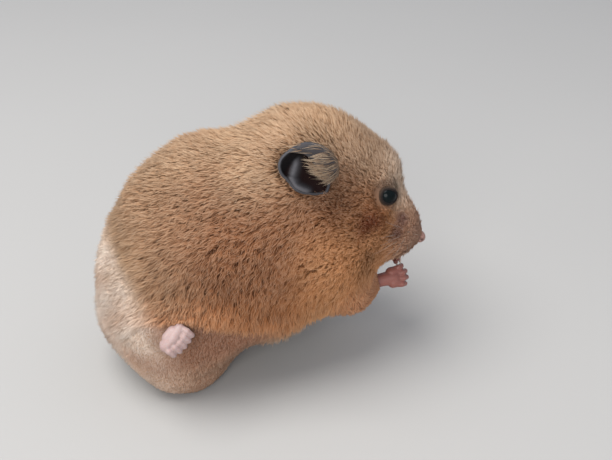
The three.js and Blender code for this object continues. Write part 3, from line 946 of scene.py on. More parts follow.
def bend_locks(graph, coat):
    along = named(graph, "along")
    reach = named(graph, "lock_length") * along * along
    normal = named(graph, "root_normal", "FLOAT_VECTOR")
    sideways = graph.vector("CROSS_PRODUCT", normal, named(graph, "comb", "FLOAT_VECTOR"))
    down = graph.vector("SCALE", normal, scale=reach * named(graph, "lock_bend") * -1.0)
    sway = graph.vector("SCALE", sideways, scale=reach * named(graph, "lock_sway"))
    coat = graph.add("GeometryNodeSetPosition", None,
                     {"Geometry": coat, "Offset": graph.vector("ADD", down, sway)})
    apart = graph.add("ShaderNodeSeparateXYZ", None, {0: graph.add("GeometryNodeInputPosition")})
    above = apart.other("Z").maths("MAXIMUM", apart.other("Z"), LOWEST)
    lifted = graph.add("ShaderNodeCombineXYZ", None, {"X": apart, "Y": apart.other("Y"), "Z": above})
    return graph.add("GeometryNodeSetPosition", None, {"Geometry": coat, "Position": lifted})


def lay_out_patches(graph, coat):
    middle = graph.vector("SUBTRACT", named(graph, "lock_chart", "FLOAT_VECTOR"), (0.5, 0.5, 0))
    small = graph.vector("SCALE", middle, scale=PATCH_SIZE)
    chart = graph.vector("ADD", named(graph, "root_place", "FLOAT_VECTOR"), small)
    return keep(graph, coat, "OFBake", chart, "FLOAT2", "CORNER")


# %% [markdown]
# The steps are joined into one tree with named inputs. It ends with plain geometry and a
# material, because copies that are still instances don't survive an export.

# %% The coat as a Geometry Nodes tree
def coat_tree():
    tree = bpy.data.node_groups.new("comb_a_coat", "GeometryNodeTree")
    for name, kind in (
        ("Hide", "Geometry"), ("Locks", "Collection"), ("Region", "Int"), ("Locks per area", "Float"),
        ("Lock width", "Float"), ("Length factor", "Float"), ("Clumps per area", "Float"),
        ("Clumping", "Float"), ("Untidiness", "Float"), ("Seed", "Int"), ("Finish", "Material"),
    ):
        tree.interface.new_socket(name=name, in_out="INPUT", socket_type="NodeSocket" + kind)
    tree.interface.new_socket(name="Coat", in_out="OUTPUT", socket_type="NodeSocketGeometry")
    graph = Graph(tree)
    get = graph.add("NodeGroupInput").other
    points, clump, to_centre = scatter_roots(graph, get)
    normal = points.other("Normal")
    own_chance = chance(graph, get, 0.0, 1.0)
    clump_chance = chance(graph, get, 0.0, 1.0, clump)
    length = named(graph, "hair_length") * get("Length factor")
    length = length * (0.72 + own_chance * 0.24 + clump_chance * 0.32)
    way = combed_way(graph, get, normal, clump, to_centre, length, own_chance)
    coat = set_locks(graph, get, points, normal, way, length, own_chance, clump_chance)
    coat = lay_out_patches(graph, bend_locks(graph, coat))
    coat = graph.add("GeometryNodeSetShadeSmooth", None, {"Geometry": coat, "Shade Smooth": True})
    coat = graph.add("GeometryNodeSetMaterial", None, {"Geometry": coat, "Material": get("Finish")})
    graph.add("NodeGroupOutput", None, {"Coat": coat})
    return tree


comb_tree = coat_tree()
print("nodes in the coat tree:", len(comb_tree.nodes))

# %% [markdown]
# A modifier's inputs are set by their identifiers before anything is evaluated. The result is
# turned into a plain mesh at once, and working attributes that no shader reads are dropped.

# %% Grow one piece of coat
KEPT = {"along", "shade", "clump_shade", "markings", "root_normal", "OFBake", "position"}
coats = []


def grow(name, mesh, **inputs):
    """Combs a coat onto the mesh; inputs are the tree's own, with underscores for spaces."""
    piece = link(name + "_roots", mesh)
    modifier = piece.modifiers.new("coat", "NODES")
    modifier.node_group = comb_tree
    inputs.update(locks=lock_shelf, finish=fur)
    for item in comb_tree.interface.items_tree:
        value = inputs.get(item.name.lower().replace(" ", "_"))
        if item.in_out == "INPUT" and value is not None:
            modifier[item.identifier] = value
    piece = plain(piece, name)
    piece.data.materials.clear()
    piece.data.materials.append(fur)
    for old in [a.name for a in piece.data.attributes]:
        spare = piece.data.attributes[old]
        if old not in KEPT and not old.startswith(".") and not spare.is_required:
            piece.data.attributes.remove(spare)
    piece.data.uv_layers["OFBake"].active = True
    coats.append(piece)
    locks = len(piece.data.vertices) // LOCK_POINTS
    print(name, locks, "locks,", locks * LOCK_TRIANGLES, "triangles")


# %% [markdown]
# No single mesh may get too heavy, so the coat grows in regions: three bands of the body and the
# head, each split into a left and a right side. The regions meet on the same skin with the same
# combing, so no border shows.

# %% Regions of the coat
centres = np.empty(len(hide.data.polygons) * 3, np.float32)
hide.data.polygons.foreach_get("center", centres)
centres = centres.reshape(-1, 3) / MM
areas = np.empty(len(hide.data.polygons), np.float32)
hide.data.polygons.foreach_get("area", areas)
head_x = ((centres - HEAD_CENTRE) @ HEAD_SPIN)[:, 0]
band = np.where(centres[:, 0] < -25, 0, np.where(centres[:, 0] < -2, 1, 2))
band = np.where((head_x > -7) & (centres[:, 2] > 30), 3, band)
region = band * 2 + (centres[:, 1] > 1.5)
hide.data.attributes.new("coat_region", "INT", "FACE").data.foreach_set("value", region.astype(np.int32))
print("faces of the hide in each band:", np.bincount(band))

# %% [markdown]
# The locks of the head are thinner and gather into smaller, looser clumps than those of the body,
# which keeps the face soft. Every region gets about the same number of locks.

# %% Grow the regions
REGIONS = [part + "_" + side for part in ("rump", "flank", "shoulder", "head") for side in ("right", "left")]
MOST_LOCKS = 18500
BODY_FUR = {"lock_width": 0.31, "clumps_per_area": 1.2e6, "clumping": 0.45}
HEAD_FUR = {"lock_width": 0.24, "clumps_per_area": 1.8e6, "clumping": 0.36}
for number, name in enumerate(REGIONS):
    area = float(areas[region == number].sum())
    on_the_head = name.startswith("head")
    wanted = MOST_LOCKS / area / (1 + THICKER_ON_HEAD if on_the_head else 1)
    grow("coat_" + name, hide.data, region=number, locks_per_area=wanted, seed=11 + number,
         length_factor=1.0, untidiness=0.14, **(HEAD_FUR if on_the_head else BODY_FUR))
    print("   area", round(area * 1e6), "square mm,", round(wanted * 1e-6, 1), "locks per square mm")

# %% [markdown]
# ## Eyes
# A hamster's eye is a wet black bead. Each is one smooth ball of the measured size and is set
# where the measured solid sits. Its finish is almost black with a small, sharp highlight, and noise
# tints the black towards a faint teal, a painted sheen of reflected sky.

# %% Eyeballs
wet_eye, graph, shader = finish_material("wet_eye", (0.003, 0.004, 0.004), 0.08)
shader.inputs["Specular IOR Level"].default_value = 0.25
shader.inputs["IOR"].default_value = 1.3
place = graph.add("ShaderNodeTexCoord", output="Object")
# Noise tints the black a faint teal here and there: a painted sheen of reflected sky.
painted_sheen_cloud = graph.add("ShaderNodeTexNoise", sockets={"Vector": place, "Scale": 500.0, "Detail": 2.0})
inky_with_painted_sheen = graph.mix(painted_sheen_cloud, (0.002, 0.002, 0.002, 1), (0.004, 0.009, 0.01, 1))
plug(graph.tree, shader.inputs["Base Color"], inky_with_painted_sheen)


def tidy(piece):
    """Merges doubled points, turns all faces outwards and shades them smooth."""
    form = bmesh.new()
    form.from_mesh(piece.data)
    bmesh.ops.remove_doubles(form, verts=form.verts, dist=2e-6)
    bmesh.ops.recalc_face_normals(form, faces=form.faces)
    form.to_mesh(piece.data)
    form.free()
    piece.data.shade_smooth()
    return piece


EYE_CENTRES = {side: EYES[side] + along_head((0.4, 0, 0)) for side in SIDES}
for side, centre in EYE_CENTRES.items():
    ball = bmesh.new()
    bmesh.ops.create_uvsphere(ball, u_segments=40, v_segments=24, radius=EYE_RADIUS * MM)
    bmesh.ops.translate(ball, verts=ball.verts, vec=Vector(centre) * MM)
    eye = tidy(link("eyeball_" + side, mesh_of(ball, "eyeball_" + side)))
    eye.data.materials.append(wet_eye)
    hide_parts("eye_" + side)
    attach(eye, "root")
print("eyes of radius", EYE_RADIUS, "mm at", {k: v.round(1) for k, v in EYE_CENTRES.items()})

# %% [markdown]
# Lids of dark skin close over the edge of the eye, so that the opening is a rounded triangle with
# its corner at the back. They are rings of points on a slightly larger ball, from the opening
# outwards under the coat. The rim is bare and almost black, and the outer rings turn brown, as
# very short fur covers them on the real animal.

# %% Eyelids
lid_skin, graph, shader = finish_material("lid_skin", (0.02, 0.015, 0.014), 0.7)
shader.inputs["Specular IOR Level"].default_value = 0.1
place = graph.add("ShaderNodeTexCoord", output="Object")
creases = graph.add("ShaderNodeTexNoise", sockets={"Vector": place, "Scale": 1800.0, "Detail": 2.0})
rim = graph.mix(creases, (0.010, 0.008, 0.008, 1), (0.022, 0.016, 0.014, 1))
furred = graph.mix(creases, (0.12, 0.08, 0.055, 1), (0.22, 0.145, 0.10, 1))
plug(graph.tree, shader.inputs["Base Color"], graph.mix(attribute(graph, "lid_edge", "Fac"), rim, furred))
LID_OPENING = [  # how far the rim is from the middle of the opening, by angle round it
    (-180, 0.76), (-135, 0.72), (-90, 0.62), (-40, 0.60), (-5, 0.80), (20, 0.95),
    (45, 0.80), (90, 0.62), (125, 0.70), (150, 0.80), (180, 0.76),
]
LID_REACH = 1.8  # and how far the lids go, in radians
LID_POINTS = 48
# Each ring of a lid: its share of the way out, its height over the eye in mm, and how furry it is.
LID_RINGS = [(0, -0.1, 0), (0, 0.1, 0), (0.1, 0.24, 0), (0.28, 0.28, 0.35), (0.7, 0.22, 0.9), (1.0, 0.1, 1)]


def grid_mesh(name, rows):
    """A mesh through rows of points in millimetres, each row a closed ring."""
    count = len(rows[0])
    verts = [tuple(np.asarray(p, float) * MM) for row in rows for p in row]
    faces = []
    for first in range(0, (len(rows) - 1) * count, count):
        for c in range(count):
            following = (c + 1) % count
            faces.append((first + c, first + following, first + count + following, first + count + c))
    mesh = bpy.data.meshes.new(name)
    mesh.from_pydata(verts, [], faces)
    return mesh


def lid_rings(centre, outwards, backward, upward):
    """The lids' points, as rings round an eye that looks outwards."""
    rows = []
    for open_to, lift, _ in LID_RINGS:
        row = []
        for turn in np.linspace(-np.pi, np.pi, LID_POINTS, endpoint=False):
            rim_at = np.interp(np.degrees(turn), *np.transpose(LID_OPENING))
            tilt = rim_at + (LID_REACH - rim_at) * open_to
            round_it = np.cos(turn) * backward + np.sin(turn) * upward
            row.append(centre + (np.cos(tilt) * outwards + np.sin(tilt) * round_it) * (EYE_RADIUS + lift))
        rows.append(row)
    return rows


for side, sign in SIDES.items():
    backward = unit(np.cross(EYE_LOOK[side], along_head((0, 0, sign))))
    upward = sign * np.cross(backward, EYE_LOOK[side])
    lid_mesh = grid_mesh("eyelids_" + side, lid_rings(EYE_CENTRES[side], EYE_LOOK[side], backward, upward))
    store(lid_mesh, "lid_edge", np.repeat([furry for _, _, furry in LID_RINGS], LID_POINTS))
    lids = tidy(link("eyelids_" + side, lid_mesh))
    thick = lids.modifiers.new("thick", "SOLIDIFY")
    thick.thickness = 0.15 * MM
    thick.offset = -1
    lids = plain(lids, "eyelids_" + side)
    lids.data.materials.append(lid_skin)
    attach(lids, "root")
print("lids of", len(lids.data.vertices), "points")

# %% [markdown]
# ## Rods
# Small limbs are easiest to draw as rods with rounded ends. A rod is the convex hull of two balls
# of points, one at each end, so it may taper. Melting several rods together makes a toe or a
# stalk.

# %% A rod between two places
BALL = unit(np.array([
    (math.sqrt(1 - z * z) * math.cos(i * 2.39996), math.sqrt(1 - z * z) * math.sin(i * 2.39996), z)
    for i, z in enumerate(np.linspace(-0.98, 0.98, 90))
]))


def rod(form, start, end, radius_start, radius_end):
    """Adds a closed rod to form, its places and radii in millimetres."""
    points = np.vstack([BALL * radius_start + start, BALL * radius_end + end]) * MM
    verts = [form.verts.new(p) for p in points]
    made = bmesh.ops.convex_hull(form, input=verts)
    inner = {v for v in made["geom_interior"] + made["geom_unused"] if isinstance(v, bmesh.types.BMVert)}
    bmesh.ops.delete(form, geom=list(inner), context="VERTS")


print("a rod has", 2 * len(BALL), "points before its hull")

# %% [markdown]
# ## Ears
# Each ear is drawn as rings of points that start at the bottom of the cup, climb to its outer
# edge and, at the front, roll on over the opening as the flap. `reach` counts the rings: 0 is the
# heart of the cup, 1 its edge and 2 the end of the flap. A raised fold runs inside from the tip
# down to the lower edge.

# %% The sheet of an ear
EAR_SPOKES = 96
RIDGE_HEIGHT = 1.7
RIDGE_WIDTH = 1.15


def round_the_ear(line, turn):
    """Distance of an outline from the ear's heart at each angle in radians."""
    spokes = np.array(line) - EAR_HEART
    angles = np.arctan2(spokes[:, 1], spokes[:, 0])
    order = np.argsort(angles)
    return np.interp(turn, angles[order], np.linalg.norm(spokes, axis=1)[order], period=2 * np.pi)


def from_ridge(p, q):
    """Distance in the plane of the ear from the raised fold inside it."""
    flat_place = np.stack([p, q, 0 * p], axis=-1).reshape(-1, 3)
    ends = [np.array([*place, 0]) for place in EAR_RIDGE]
    away = [from_line(flat_place, start, end)[0] for start, end in zip(ends, ends[1:])]
    return np.min(away, axis=0).reshape(p.shape)


def ear_sheet(side):
    """The ear's rings of points, and the named measures that its colours follow."""
    root, up, front, out = ear_frame(side)
    reach = np.concatenate([np.linspace(0.03, 1, 26), np.linspace(1.06, 2, 12)])
    turn = np.linspace(-np.pi, np.pi, EAR_SPOKES, endpoint=False)
    reach, turn = np.meshgrid(reach, turn, indexing="ij")
    edge = round_the_ear(EAR_EDGE, turn)
    fold = round_the_ear(EAR_FOLD, turn)
    on_front = ramp(turn, -0.15, 0.1) * ramp(turn, 2.75, 2.6)
    fold = edge - np.maximum(0.45, (edge - fold) * on_front)
    flap = ramp(edge - fold, 0.6, 2.5)
    climb, over = np.minimum(reach, 1), np.clip(reach - 1, 0, 1)
    radius = climb * edge + (fold - edge) * over ** 1.15 + 0.55 * flap * np.sin(np.pi * over) * (1 - over)
    p = EAR_HEART[0] + radius * np.cos(turn)
    q = EAR_HEART[1] + radius * np.sin(turn)
    rim = np.interp(np.degrees(turn), *np.transpose(EAR_RIM_HEIGHT))
    height = 1.2 + (rim - 1.2) * climb ** 2.6
    height = height + over * 0.35 + flap * (2.3 * np.sin(np.minimum(over * 2.2, 1.75)) - 0.9 * over ** 2)
    ridge = np.exp(-((from_ridge(p, q) / RIDGE_WIDTH) ** 2)) * ramp(p, 12.5, 10) * (reach <= 1)
    height = height + RIDGE_HEIGHT * ridge * ramp(climb, 1.0, 0.8) + 0.12 * np.sin(5 * turn) * climb
    p = p + 0.75 * (height - 5)
    q = q + 0.12 * (height - 5)
    place = root + p[..., None] * up + q[..., None] * front + height[..., None] * out
    return place, {"ridge": ridge, "flap": flap * ramp(reach, 0.85, 1.0), "reach": reach, "tipward": p}


print("an ear has", EAR_SPOKES, "points in each ring")

# %% [markdown]
# The sheet becomes a shell by closing the small hole at its heart and giving it a wall with
# Solidify. The measures ride along as attributes, so the shell can be painted by them after the
# modifier has made its second side.

# %% Shells of the ears
def make_ear(side_name, side):
    place, measures = ear_sheet(side)
    name = "ear_shell_" + side_name
    mesh = grid_mesh(name, place)
    for label, values in measures.items():
        store(mesh, label, values.ravel())
    form = bmesh.new()
    form.from_mesh(mesh)
    heart = [e for e in form.edges if e.is_boundary and e.verts[0].index < EAR_SPOKES]
    bmesh.ops.holes_fill(form, edges=heart, sides=100)
    bmesh.ops.recalc_face_normals(form, faces=form.faces)
    form.to_mesh(mesh)
    form.free()
    out = ear_frame(side)[3]
    if mesh.polygons[len(mesh.polygons) // 3].normal @ Vector(out) < 0:
        mesh.flip_normals()
    piece = link(name, mesh)
    wall = piece.modifiers.new("wall", "SOLIDIFY")
    wall.thickness = 0.6 * MM
    wall.offset = 0
    piece = plain(piece, name)
    piece.data.shade_smooth()
    return piece


def values_of(mesh, name):
    data = np.empty(len(mesh.vertices), np.float32)
    mesh.attributes[name].data.foreach_get("value", data)
    return data.astype(float)


ears = {side_name: make_ear(side_name, side) for side_name, side in SIDES.items()}
print("ears:", {name: len(ear.data.vertices) for name, ear in ears.items()}, "points")

# %% [markdown]
# The ear's colours are painted from its measures: reddish black in the hollow, which is dark skin
# with painted shade of the cup on it, and nearer black towards the tip as painted shade under the
# folded rim; blue-grey on the fold and the edge, which is grey skin with a painted highlight; and a
# lighter grey where the flap carries its row of pale hairs.

# %% Paint the ears
ear_skin_paint, graph, shader = finish_material("ear_skin_paint", (0.03, 0.018, 0.016), 0.6)
tint = attribute(graph, "ear_tint", "Color")
place = graph.add("ShaderNodeTexCoord", output="Object")
veins = graph.add("ShaderNodeTexNoise", sockets={"Vector": place, "Scale": 700.0, "Detail": 3.0})
mottled = graph.mix(veins * 0.5, tint, graph.mix(1.0, tint, (0.45, 0.4, 0.4, 1), "MULTIPLY"))
plug(graph.tree, shader.inputs["Base Color"], mottled)
shader.inputs["Specular IOR Level"].default_value = 0.12
bump = graph.add("ShaderNodeBump", sockets={"Height": veins, "Strength": 0.35, "Distance": 0.0003})
plug(graph.tree, shader.inputs["Normal"], bump)

# The hollow and its tip: dark skin, darkened further by painted shade in the cup and under the folded rim.
HOLLOW = (0.012, 0.004, 0.0035)
TIP_HOLLOW = (0.005, 0.004, 0.005)
# The ridge and the fold: blue-grey skin, lightened by a painted highlight.
RIDGE = (0.15, 0.15, 0.165)
FOLD = (0.095, 0.097, 0.108)
OUTSIDE = (0.15, 0.11, 0.09)
FLAP = (0.07, 0.066, 0.07)
FRONT_EDGE = (0.27, 0.19, 0.125)


def paint_ear(ear, out):
    """Paints the shell, and returns where it is the ear's outer face and where its flap."""
    looking_out = normals_of(ear.data) @ out
    ridge, flap, reach, tipward = (values_of(ear.data, n) for n in ("ridge", "flap", "reach", "tipward"))
    back_of_ear = ramp(looking_out, 0.1, -0.3) * (reach < 1.02)
    front_edge = 0.9 * ramp(flap, 0.2, 0.8) * ramp(reach, 1.3, 1.1) * ramp(tipward, 10, 5)
    tints = np.tile(np.array(HOLLOW), (len(ridge), 1))
    for share, colour in (
        (ramp(tipward, 8.5, 10.5), TIP_HOLLOW),
        (0.95 * ridge, RIDGE),
        (0.9 * ramp(reach, 0.93, 1.05), FOLD),
        (back_of_ear, OUTSIDE),
        (ramp(flap, 0.3, 0.9) * ramp(reach, 1.1, 1.4), FLAP),
        (front_edge, FRONT_EDGE),
    ):
        tints = paint(tints, share, colour)
    store(ear.data, "ear_tint", opaque(tints))
    ear.data.materials.append(ear_skin_paint)
    on_flap = ramp(flap, 0.35, 0.8) * ramp(looking_out, -0.3, 0.1) * (reach > 0.98)
    return back_of_ear, on_flap


ear_faces = {name: paint_ear(ear, ear_frame(SIDES[name])[3]) for name, ear in ears.items()}
print("share of hairy flap:", {name: float(flap.mean().round(3)) for name, (_, flap) in ear_faces.items()})

# %% [markdown]
# The same comb grows the hairs of the ears. The skin of the ear isn't sunk, so its hairs only
# need directions, lengths and numbers of their own. The stalk of each ear, the short neck of
# flesh that it stands on, is melted from two rods and has fur like the crown's.

# %% Stalks of the ears
STALK_FUR = (0.37, 0.235, 0.145)


def grow_hairs(name, mesh, sweep, length, lean, count, colours, **inputs):
    """Grows short hairs straight on a small mesh, combed along the given directions."""
    flat = normals_of(mesh)
    points = len(mesh.vertices)
    hairs = mesh.copy()
    store(hairs, "comb", unit(sweep - flat * (sweep * flat).sum(1)[:, None]))
    store(hairs, "hair_length", np.broadcast_to(length, points))
    store(hairs, "lean", np.radians(np.broadcast_to(lean, points)))
    store(hairs, "hair_count", np.broadcast_to(count, points))
    store(hairs, "markings", opaque(colours))
    store(hairs, "tousled", np.ones(points))
    hairs.attributes.new("coat_region", "INT", "FACE")
    grow(name, hairs, region=0, length_factor=1.0, **inputs)


for side_name, side in SIDES.items():
    root, up, front, out = ear_frame(side)
    waist = root + 1.5 * up - 3.0 * out
    form = bmesh.new()
    rod(form, root - 0.5 * up - 3.6 * out, waist, 3.8, 3.8)
    rod(form, waist, root + 5.5 * up - 2.0 * out, 3.8, 2.8)
    name = "ear_stalk_" + side_name
    stalk = melted(name, mesh_of(form, name), 0.5, 4, 0)
    stalk.data.shade_smooth()
    everywhere = (len(stalk.data.vertices), 1)
    colours = np.tile(np.array(STALK_FUR), everywhere)
    # The stalk's skin is half as bright as its fur: painted shade under the hairs, as on the hide.
    store(stalk.data, "ear_tint", opaque(0.5 * colours))
    stalk.data.materials.append(ear_skin_paint)
    unwrap(stalk)
    grow_hairs("stalk_hair_" + side_name, stalk.data, np.tile(unit(up - 0.25 * front), everywhere),
               2.3, 26, 1.0, colours, locks_per_area=6e6, seed=80 + side, lock_width=0.26,
               clumps_per_area=1.8e6, clumping=0.35, untidiness=0.13)
    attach(stalk, "root")
print("a stalk has", len(stalk.data.vertices), "points")

# %% [markdown]
# The flap's hairs start where it meets the head, hang a little way over the opening and thin out
# towards the tip. The outside of the ear has only a fine down.

# %% Hairs of the ears
FLAP_HAIR = (0.60, 0.49, 0.37)
DOWN = (0.33, 0.27, 0.21)
for side_name, side in SIDES.items():
    ear = ears[side_name]
    unwrap(ear)
    _, up, front, _ = ear_frame(side)
    back_of_ear, on_flap = ear_faces[side_name]
    everywhere = (len(on_flap), 1)
    sweep = np.tile(unit(0.9 * up - front), everywhere)
    sweep[back_of_ear > 0.5] = unit(up + 0.3 * front)
    near_head = ramp(values_of(ear.data, "tipward"), 11, 5.5)
    count = on_flap * (0.14 + 0.86 * near_head) + 0.6 * back_of_ear
    colours = paint(np.tile(DOWN, everywhere), on_flap, FLAP_HAIR)
    grow_hairs("ear_hair_" + side_name, ear.data, sweep, 1.5 + 2.9 * on_flap, 8 + 8 * back_of_ear,
               count, colours, locks_per_area=3.2e6, seed=70 + side, lock_width=0.17,
               clumps_per_area=0.7e6, clumping=0.7, untidiness=0.05)
    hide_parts("ear_" + side_name)
    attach(ear, "root")
print("hairy pieces so far:", len(coats))

# %% [markdown]
# ## Paws
# Paws are naked, so their shape shows. Each finger is a chain of three rods. All rods of a paw
# are melted together finely, which leaves the soft webs between the toes. Each paw is drawn in a
# frame of its own: forwards along the toes, sideways, and up out of the back of the paw.

# %% Rods, toes and claws
def paw_frame(at, toward, back):
    """A function that puts a place in a paw's own frame into the model's."""
    x = unit(toward)
    z = unit(np.array(back) - x * (np.array(back) @ x))
    y = np.cross(z, x)
    return lambda a, b, c: np.array(at) + a * x + b * y + c * z


def make_paw(name, put, palm, toes, toe, length, fan, curl, claw):
    """Returns the paw, and the places and directions of its claws."""
    form = bmesh.new()
    claws = []
    for start, end, radius_start, radius_end in palm:
        rod(form, put(*start), put(*end), radius_start, radius_end)
    for offset, ahead in toes:
        slant = fan * offset
        knuckle = put(ahead + length * 0.42, offset + slant * 0.4, 0.55 * curl)
        joint = put(ahead + length * (0.8 - 0.16 * curl), offset + slant * 0.8, -0.1 - length * 0.16 * curl)
        tip = put(ahead + length * (1 - 0.34 * curl), offset + slant, -0.35 - length * 0.46 * curl)
        rod(form, put(ahead - 1.4, offset * 0.85, 0), knuckle, toe * 1.02, toe * 1.04)
        rod(form, knuckle, joint, toe * 0.98, toe * 0.84)
        rod(form, joint, tip, toe * 0.84, toe * 0.88)
        claws.append((tip, unit(tip - joint), unit(put(0, 0, 1) - put(0, 0, 0))))
    paw = melted(name, mesh_of(form, name), 0.2, 3, 0)
    paw.data.shade_smooth()
    return paw, [(tip + way * toe * 0.55, way, up, claw) for tip, way, up in claws]



# %% [markdown]
# The skin of the paws is pink and a little see-through. A fine pattern of creases is bump, and
# its lines are painted darker as painted shade in the creases. The hands are painted darker than the
# feet: partly a deeper pink, partly painted shade on the hands.

# %% Paw finish
paw_skin, graph, shader = finish_material("paw_skin", (0.74, 0.5, 0.44), 0.48)
shader.inputs["Subsurface Weight"].default_value = 0.12
shader.inputs["Subsurface Radius"].default_value = (1.0, 0.35, 0.2)
shader.inputs["Subsurface Scale"].default_value = 0.0012
place = graph.add("ShaderNodeTexCoord", output="Object")
blush_and_shade = graph.add("ShaderNodeTexNoise", sockets={"Vector": place, "Scale": 260.0, "Detail": 2.0})
cells = {"Vector": place, "Scale": 1900.0}
creases = graph.add("ShaderNodeTexVoronoi", {"feature": "DISTANCE_TO_EDGE"}, cells)
# 1 on the hands: a deeper pink and painted shade, as the hands lie in shade
shaded = attribute(graph, "blush_and_shade", "Fac")
rosy = graph.mix(blush_and_shade, (0.43, 0.325, 0.31, 1), (0.35, 0.24, 0.225, 1))
pink = graph.mix(shaded, rosy, (0.26, 0.096, 0.076, 1))
# painted shade: the lines of the creases are darkened
shaded_creases = graph.mix((0.12 - creases) * 3.0, pink, graph.mix(1.0, pink, (0.8, 0.6, 0.57, 1), "MULTIPLY"))
plug(graph.tree, shader.inputs["Base Color"], shaded_creases)
bump = graph.add("ShaderNodeBump", sockets={"Height": creases, "Strength": 0.3, "Distance": 0.0002})
plug(graph.tree, shader.inputs["Normal"], bump)

print("materials:", [m.name for m in bpy.data.materials])

# %% [markdown]
# A palm is a list of rods, each with its two ends and radii, and the toes are places along its
# front edge: how far aside and how far ahead each starts. The right hind foot is lifted and
# clenched, the left one lies flat, and the hands are half closed as if they held something.

# %% Palms and toes
HIND_PALM = [
    ((-8, 0, 0), (0, 0, 0), 2.2, 2.6),
    ((0, -1.9, 0), (3, -2.6, 0), 2.2, 1.6),
    ((0, 1.9, 0), (3, 2.6, 0), 2.2, 1.6),
]
HIND_TOES = [(-4.0, 2.0), (-2.05, 3.7), (0, 4.1), (2.05, 3.7), (4.0, 2.0)]
RAISED_PALM = [
    ((-1.2, -1.0, -0.5), (-1.2, 1.0, -0.5), 1.9, 1.9),
    ((0, 0, 0), (-0.3, 2.8, -0.2), 2.0, 1.6),
    ((0, 0, 0), (-0.3, -3.1, -0.2), 2.0, 1.8),
]
RAISED_TOES = [(-3.7, 0.1), (-1.85, 0.7), (0, 0.9), (1.85, 0.8), (3.6, 0.5)]
FORE_PALM = [
    ((-5, 0, 0), (0, 0, 0), 2.1, 2.3),
    ((0, -1.4, 0), (1.4, -1.8, 0), 2.0, 1.5),
    ((0, 1.4, 0), (1.4, 1.8, 0), 2.0, 1.5),
]
FORE_TOES = [(-2.5, 0.9), (-0.85, 1.8), (0.85, 1.8), (2.5, 0.9)]
flat_foot = paw_frame(FLAT_FOOT, (1, 0.1, 0), (0, 0, 1))
raised_foot = paw_frame((-26.7, -33.3, 30.6), (0.72, -0.54, -0.45), (-0.33, -0.56, 0.75))
# Each paw: its frame, palm and toes, then toe radius, toe length, fan, curl and claw length.
PAWS = {
    "hindpaw_left": (flat_foot, HIND_PALM, HIND_TOES, 1.0, 4.6, 0.25, 0.3, 1.7),
    "hindpaw_right": (raised_foot, RAISED_PALM, RAISED_TOES, 0.98, 3.2, 0.0, 0.4, 0.7),
}
for side_name, side in SIDES.items():
    hand = paw_frame(sided((35.5, 7, 25.5), side) + SHIFT, sided((0.95, -0.1, 0.1), side),
                     sided((0.1, 0.85, 0.5), side))
    PAWS["forepaw_" + side_name] = (hand, FORE_PALM, FORE_TOES, 0.95, 4.1, 0.16, 0.7, 1.2)
all_claws = []
for node, recipe in PAWS.items():
    paw, claws = make_paw("bare_" + node, *recipe)
    all_claws += claws
    unwrap(paw)
    # the hands get the deeper pink and the painted shade, the feet don't
    store(paw.data, "blush_and_shade", np.full(len(paw.data.vertices), 1.0 if "fore" in node else 0.0))
    paw.data.materials.append(paw_skin)
    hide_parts(node)
    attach(paw, "root")
    print(node, len(paw.data.polygons), "faces")

# %% [markdown]
# A claw is a short horn that curves down from the end of each toe. Two tapering rods make one,
# and all claws are one piece. No claw reaches below the floor.

# %% Claws
claw_horn, graph, shader = finish_material("claw_horn", (0.55, 0.42, 0.33), 0.3)
place = graph.add("ShaderNodeTexCoord", output="Object")
layers = graph.add("ShaderNodeTexNoise", sockets={"Vector": place, "Scale": 1500.0, "Detail": 1.0})
plug(graph.tree, shader.inputs["Base Color"], graph.mix(layers, (0.62, 0.47, 0.38, 1), (0.45, 0.32, 0.25, 1)))
form = bmesh.new()
for tip, way, up, length in all_claws:
    bend_at = tip + way * length * 0.55
    point = bend_at + unit(way - 0.45 * up) * length * 0.6
    point[2] = max(point[2], 0.15)
    rod(form, tip, bend_at, 0.36, 0.25)
    rod(form, bend_at, point, 0.25, 0.05)
claws = link("claws", mesh_of(form, "claws"))
claws.data.materials.append(claw_horn)
claws.data.shade_smooth()
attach(claws, "root")
print(len(all_claws), "claws")

# %% [markdown]
# ## Nose, tail and whiskers
# The nose is a small bare cushion with a nostril on either side, each a slanting dent, and a
# crease down its middle. It is a ball of radius one that is dented first and sized afterwards,
# so that the dents are described on the plain ball.

# %% Nose
nose_paint, graph, shader = finish_material("nose_paint", (0.40, 0.2, 0.17), 0.42)
place = graph.add("ShaderNodeTexCoord", output="Object")
pebbles = graph.add("ShaderNodeTexVoronoi", None, {"Vector": place, "Scale": 2200.0})
rosy = graph.mix(pebbles, (0.36, 0.2, 0.165, 1), (0.24, 0.125, 0.10, 1))
# The nostrils are painted almost black: painted shade in their openings.
shaded_nostrils = graph.mix(attribute(graph, "nostril", "Fac"), rosy, (0.05, 0.014, 0.012, 1))
plug(graph.tree, shader.inputs["Base Color"], shaded_nostrils)
bump = graph.add("ShaderNodeBump", sockets={"Height": pebbles, "Strength": 0.3, "Distance": 0.0002})
plug(graph.tree, shader.inputs["Normal"], bump)


def nostril_share(point):
    """1 in the middle of a nostril, on a nose pad drawn as a ball of radius one."""
    away = math.hypot(abs(point[1]) - 0.68, (point[2] + 0.1) * 1.3 - 0.3 * (abs(point[1]) - 0.68))
    return math.exp(-((away / 0.27) ** 2)) if point[0] > 0 else 0.0


